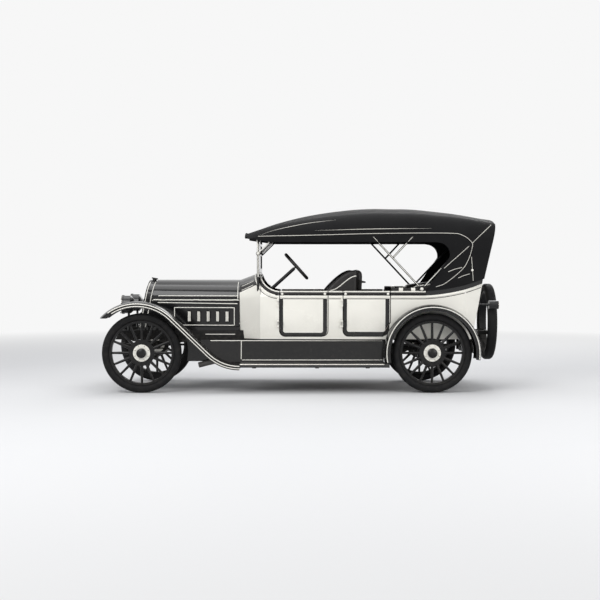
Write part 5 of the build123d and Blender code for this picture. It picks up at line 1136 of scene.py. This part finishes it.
for side, sign in (("left", 1), ("right", -1)):
    for name, (x, y, z), radius, look, slot in KNOBS:
        studs(f"{name}_{side}", [(x, sign * y, z)], radius, look, "chassis")
    for door, stations_x in COAMING_STUDS.items():
        row = [(x, RIM_Z - COAMING_DROP) for x in stations_x]
        places = [(x, sign * y, z) for x, y, z in on_left(skin(f"door_{door}_left"), row, STUD_OUT)]
        body = f"door_{door}_{side}"
        studs(f"coaming_studs_{door}_{side}", places, STUD_RADIUS, lining, body)
IRON_PIVOT, FORK, IRON_LINE_RADIUS = (1.395, 1.189), (1.059, 1.5496), 0.0045
IRONS = (
    # foot, top, where its line starts and stops
    (IRON_PIVOT, (0.835, 1.790), 1.225, 1.725),
    (FORK, (1.282, 1.790), 1.560, 1.725),
    (IRON_PIVOT, (1.960, 1.790), 1.225, 1.430),
)
iron_skin, iron_lines = skin("top_irons"), []
for (foot_x, foot_z), (top_x, top_z), *heights in IRONS:
    slope = (top_x - foot_x) / (top_z - foot_z)
    ends = [(foot_x + slope * (z - foot_z), z) for z in heights]
    iron_lines.append(on_left(iron_skin, straight(*ends, 60)))
STAY_ENDS, STAY_RADIUS = ((-0.345, -0.598, 1.762), (-0.515, -0.590, 1.778)), 0.0070
# Painted shadow: a black leather line just below the first stay, partly a real strap.
STRAP_SHADOW, STRAP_SHADOW_RADIUS = [(-0.487, -0.540, 1.592), (-0.323, -0.592, 1.757)], 0.0080
POST, POST_RADIUS = [(-0.503, -0.538, 1.330), (-0.503, -0.538, 1.716)], 0.0065
stays = [[SCREEN_KNOB, end] for end in STAY_ENDS]
for name, lines, radius, look, slot in (
    ("iron_lining", iron_lines, IRON_LINE_RADIUS, lining, "ivory_enamel"),
    ("front_stays", stays, STAY_RADIUS, lining, "ivory_enamel"),
    ("front_strap_shadow", [STRAP_SHADOW], STRAP_SHADOW_RADIUS, leather, "leather"),
    ("screen_post", [POST], POST_RADIUS, lining, "ivory_enamel"),
):
    twin_bead(name, lines, radius, look, "chassis")

# A stuffed roll of hide lies along the rim beside the rear seat, as an arm rest.
# It is held down by ivory keepers, screwed to the rim on either side of it.
ROLL_Y, ROLL_Z, ROLL_RADIUS, KEEPER_RADIUS = -0.590, 1.184, 0.020, 0.0215
for name, spans, radius, look, slot in (
    ("arm_roll", ((1.048, 1.345),), ROLL_RADIUS, leather, "leather"),
    ("arm_roll_keeper", ((1.130, 1.178), (1.272, 1.320)), KEEPER_RADIUS, lining, "ivory_enamel"),
):
    lines = [[(x, ROLL_Y, ROLL_Z) for x in span] for span in spans]
    twin_bead(name, lines, radius, look, "chassis")

# Robe rail behind the front seat: a bent steel tube, japanned black.
# Its ends are turned in and screwed to the back of the seat.
RAIL_X, RAIL_BEND_X, RAIL_FOOT_X, RAIL_Z = 0.748, 0.742, 0.700, 1.268
RAIL_HALF, RAIL_BEND, RAIL_RADIUS = 0.44, 0.01, 0.0095
half_rail = [(RAIL_FOOT_X, RAIL_HALF), (RAIL_BEND_X, RAIL_HALF), (RAIL_X, RAIL_HALF - RAIL_BEND)]
rail = [(x, -y, RAIL_Z) for x, y in half_rail] + [(x, y, RAIL_Z) for x, y in reversed(half_rail)]
bead("robe_rail", [rail], RAIL_RADIUS, iron, "chassis")

# Hub bolts are dome-headed steel, nickelled, eight to a hub.
# They pass right through and clamp the spokes between the flanges.
BOLT_CIRCLE, BOLTS, BOLT_RADIUS, FLANGE_OUT = 0.086, 8, 0.0085, 0.0313
for name, (x, y, z) in AXLES.items():
    face_y = y + math.copysign(FLANGE_OUT, y)
    turns = [2 * math.pi * (index + 0.5) / BOLTS for index in range(BOLTS)]
    places = [(x + BOLT_CIRCLE * math.cos(turn), face_y, z + BOLT_CIRCLE * math.sin(turn)) for turn in turns]
    studs(f"hub_bolts_{name}", places, BOLT_RADIUS, nickel, f"wheel_{name}")

# Radiator core: a honeycomb of thin brass cells, soldered together. The open cells are painted near black,
# as painted shade deep in each cell, between thin brass walls.
# Water runs between the cells, and air through them. It stands inside the shell.
CELL_WIDTH, CELL_HEIGHT, CELL_WALL = 0.012, 0.010, 0.0016
# Painted shade: the two near-black tones fill the open cells; the brass is the cell walls.
OPEN_CELL_SHADE, OPEN_CELL_SHADE_GREY, CELL_BRASS = (0.004, 0.004, 0.004, 1), (0.009, 0.008, 0.007, 1), (0.18, 0.14, 0.075, 1)
core, tree, shader = material("radiator_cells")
parts = add(tree, "ShaderNodeSeparateXYZ", {0: object_place(tree)})
flat = add(tree, "ShaderNodeCombineXYZ", {"X": parts.outputs["Y"], "Y": parts.outputs["Z"]}).outputs[0]
cells = add(
    tree, "ShaderNodeTexBrick",
    {"Vector": flat, "Scale": 1.0, "Mortar Size": CELL_WALL, "Brick Width": CELL_WIDTH,
     "Row Height": CELL_HEIGHT, "Color1": OPEN_CELL_SHADE, "Color2": OPEN_CELL_SHADE_GREY, "Mortar": CELL_BRASS},
)
tree.links.new(cells.outputs["Color"], shader.inputs["Base Color"])
tree.links.new(cells.outputs["Fac"], shader.inputs["Metallic"])
shader.inputs["Roughness"].default_value = 0.45
emboss(tree, shader, cells.outputs["Fac"], 0.8, 0.006)
dress(core, "radiator_core")


# Lamps: domed glass with pressed flutes, white in front and ruby behind.
# A nickelled bezel, rolled from brass, clamps each glass to its black shell.
def around(centre, out, radius, count):
    """Points of a circle that faces along X."""
    x, y, z = centre
    turns = [2 * math.pi * index / count for index in range(count)]
    return [(x + out, y + radius * math.cos(turn), z + radius * math.sin(turn)) for turn in turns]


def domed_glass(name, centre, facing, radius, bulge, look, rings=8, count=40):
    """A domed glass that faces along X."""
    points, faces = [(centre[0] + facing * bulge, centre[1], centre[2])], []
    for ring in range(1, rings + 1):
        share = ring / rings
        points += around(centre, facing * bulge * (1 - share**2), radius * share, count)
    for index in range(count):
        after = (index + 1) % count
        faces.append((0, 1 + index, 1 + after) if facing > 0 else (0, 1 + after, 1 + index))
        for ring in range(rings - 1):
            a, b = 1 + ring * count + index, 1 + ring * count + after
            faces.append((a, a + count, b + count, b) if facing > 0 else (b, b + count, a + count, a))
    made = piece(name, points, (), faces)
    for polygon in made.data.polygons:
        polygon.use_smooth = True
    made.data.materials.append(look)
    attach(made, "chassis")


def bezel(name, centre, radius, thickness, count=48):
    """A nickelled ring round a glass."""
    ring = around(centre, 0.0, radius, count)
    bead(name, [ring + ring[:1]], thickness, nickel, "chassis")


def pressed_glass(name, colour, flutes):
    """Thick coloured glass over a reflector, with upright flutes."""
    made, tree, shader = material(name)
    shader.inputs["Base Color"].default_value = (*colour, 1)
    shader.inputs["Roughness"].default_value = 0.08
    shader.inputs["Coat Weight"].default_value = 1.0
    shader.inputs["Metallic"].default_value = 0.35
    sideways = add(tree, "ShaderNodeSeparateXYZ", {0: object_place(tree)}).outputs["Y"]
    wavy = value_of(tree, "SINE", value_of(tree, "MULTIPLY", sideways, flutes))
    emboss(tree, shader, wavy, 0.4, 0.002)
    return made


lamp_glass = pressed_glass("lamp_glass", (0.62, 0.64, 0.63), 500.0)
ruby_glass = pressed_glass("ruby_glass", (0.32, 0.010, 0.012), 700.0)
HEADLAMP_X, HEADLAMP_Y, HEADLAMP_Z = -2.1105, 0.360, 1.003
HEADLAMP_GLASS, HEADLAMP_BULGE, HEADLAMP_BEZEL = 0.100, 0.016, (0.104, 0.0065)
TAIL, TAIL_GLASS, TAIL_BULGE, TAIL_BEZEL = (2.2955, -0.524, 1.004), 0.040, 0.008, (0.044, 0.0045)
for side, sign in (("left", -1), ("right", 1)):
    centre = (HEADLAMP_X, sign * HEADLAMP_Y, HEADLAMP_Z)
    domed_glass(f"headlamp_glass_{side}", centre, -1, HEADLAMP_GLASS, HEADLAMP_BULGE, lamp_glass)
    bezel(f"headlamp_bezel_{side}", centre, *HEADLAMP_BEZEL)
domed_glass("tail_lamp_glass", TAIL, 1, TAIL_GLASS, TAIL_BULGE, ruby_glass)
bezel("tail_lamp_bezel", TAIL, *TAIL_BEZEL)

# Steering wheel: a cast-iron spider and rim, japanned black, keyed to its shaft.
# The rim is bound with black hide, sewn on wet, to a full grip.
STEERING_CENTRE = Vector((-0.057, -0.310, 1.452))
STEERING_AXIS = Vector((0.743, 0.0, 0.669)).normalized()
GRIP_RING, GRIP_RADIUS, GRIP_STEPS = 0.185, 0.0195, 64
dress(iron, "steering_wheel")
sideways = Vector((0, 1, 0))
upright = STEERING_AXIS.cross(sideways)
grip = []
for index in range(GRIP_STEPS + 1):
    turn = 2 * math.pi * index / GRIP_STEPS
    grip.append(tuple(STEERING_CENTRE + GRIP_RING * (math.cos(turn) * sideways + math.sin(turn) * upright)))
bead("steering_grip", [grip], GRIP_RADIUS, leather, "steering_wheel")

# Spare: the same tyre on a bare rim, strapped upright to its carrier behind the body.
# The fuel tank hangs under the tail, of soldered sheet steel in chassis paint.
SPARE_CENTRE = (2.2475, 0.0, 0.786)
dress(tyre_rubber("tyre_rubber_spare", SPARE_CENTRE, "X"), "spare_tyre")
dress(chassis_paint, "fuel_tank")

# Stage: a wide sheet of pale paper on the ground, with the shadow of the car on it.
# Far from the car it fades into the white of the room.
FLOOR_RADIUS, FLOOR_STEPS, FLOOR_Z, FADE = 60.0, 96, -0.001, (5.0, 13.0)
WHITE, PAPER = (0.93, 0.93, 0.93, 1), (0.67, 0.67, 0.67, 1)
turns = [2 * math.pi * index / FLOOR_STEPS for index in range(FLOOR_STEPS)]
edge = [(FLOOR_RADIUS * math.cos(turn), FLOOR_RADIUS * math.sin(turn), FLOOR_Z) for turn in turns]
floor = piece("floor", edge, (), [tuple(range(FLOOR_STEPS))])
paper, tree, shader = material("floor_paper")
shader.inputs["Base Color"].default_value = PAPER
shader.inputs["Roughness"].default_value = 0.9
shader.inputs["Specular IOR Level"].default_value = 0.1


def seen_directly(tree):
    """1 where the camera, a reflection or glass looks straight at the stage."""
    rays = add(tree, "ShaderNodeLightPath")
    mirrored = value_of(tree, "MAXIMUM", rays.outputs["Is Glossy Ray"], rays.outputs["Is Transmission Ray"])
    return value_of(tree, "MAXIMUM", rays.outputs["Is Camera Ray"], mirrored)


away = add(tree, "ShaderNodeVectorMath", {0: object_place(tree)}, operation="LENGTH").outputs["Value"]
far = remap(tree, away, *FADE)
white = add(tree, "ShaderNodeEmission", {"Color": WHITE, "Strength": 1.0})
faded = add(
    tree, "ShaderNodeMixShader",
    {0: value_of(tree, "MULTIPLY", seen_directly(tree), far), 1: shader.outputs[0], 2: white.outputs[0]},
)
tree.links.new(faded.outputs[0], tree.nodes["Material Output"].inputs["Surface"])
floor.data.materials.append(paper)
floor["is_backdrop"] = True

# Light: a white room, and four large soft boxes above and round the car, aimed at its middle.
# The room looks white to the camera and in reflections, but lights the car only faintly.
ROOM_LIGHT = ((0.90, 0.93, 1.0, 1), 0.38)
world = bpy.data.worlds.new("studio")
scene.world = world
world.use_nodes = True
tree = world.node_tree
room = tree.nodes["Background"]
room.inputs["Color"].default_value, room.inputs["Strength"].default_value = ROOM_LIGHT
wall = add(tree, "ShaderNodeBackground", {"Color": WHITE, "Strength": 1.0})
shown = add(tree, "ShaderNodeMixShader", {0: seen_directly(tree), 1: room.outputs[0], 2: wall.outputs[0]})
tree.links.new(shown.outputs[0], tree.nodes["World Output"].inputs["Surface"])

LIGHTS = (
    # name, place, aim, size, strength
    ("key_light", (-5.0, -8.0, 7.5), (0.0, 0.0, 0.8), 6.5, 700.0),
    ("fill_light", (6.5, -7.0, 4.0), (0.3, 0.0, 0.8), 6.0, 340.0),
    ("top_light", (0.0, 0.5, 8.0), (0.0, 0.0, 0.8), 7.0, 380.0),
    ("rear_light", (3.0, 9.0, 6.0), (0.0, 0.0, 0.8), 6.0, 340.0),
)
for name, place, aim, size, strength in LIGHTS:
    lamp = bpy.data.lights.new(name, "AREA")
    lamp.shape = "SQUARE"
    lamp.size = size
    lamp.energy = strength
    holder = bpy.data.objects.new(name, lamp)
    holder.location = place
    holder.rotation_euler = (Vector(aim) - Vector(place)).to_track_quat("-Z", "Y").to_euler()
    holder.visible_camera = False
    scene.collection.objects.link(holder)

# Camera: square to the left side and far off, so that the car is seen almost without perspective.
# Its long lens fills the width of the picture with the car.
CAMERA, AIM, LENS, SENSOR = (-0.015, -14.0, 1.46), (-0.015, 0.0, 1.045), 69.4, 36.0
optics = bpy.data.cameras.new("camera")
optics.lens = LENS
optics.sensor_width = SENSOR
camera = bpy.data.objects.new("camera", optics)
camera.location = CAMERA
camera.rotation_euler = (Vector(AIM) - Vector(CAMERA)).to_track_quat("-Z", "Y").to_euler()
scene.collection.objects.link(camera)
scene.camera = camera

low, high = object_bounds()
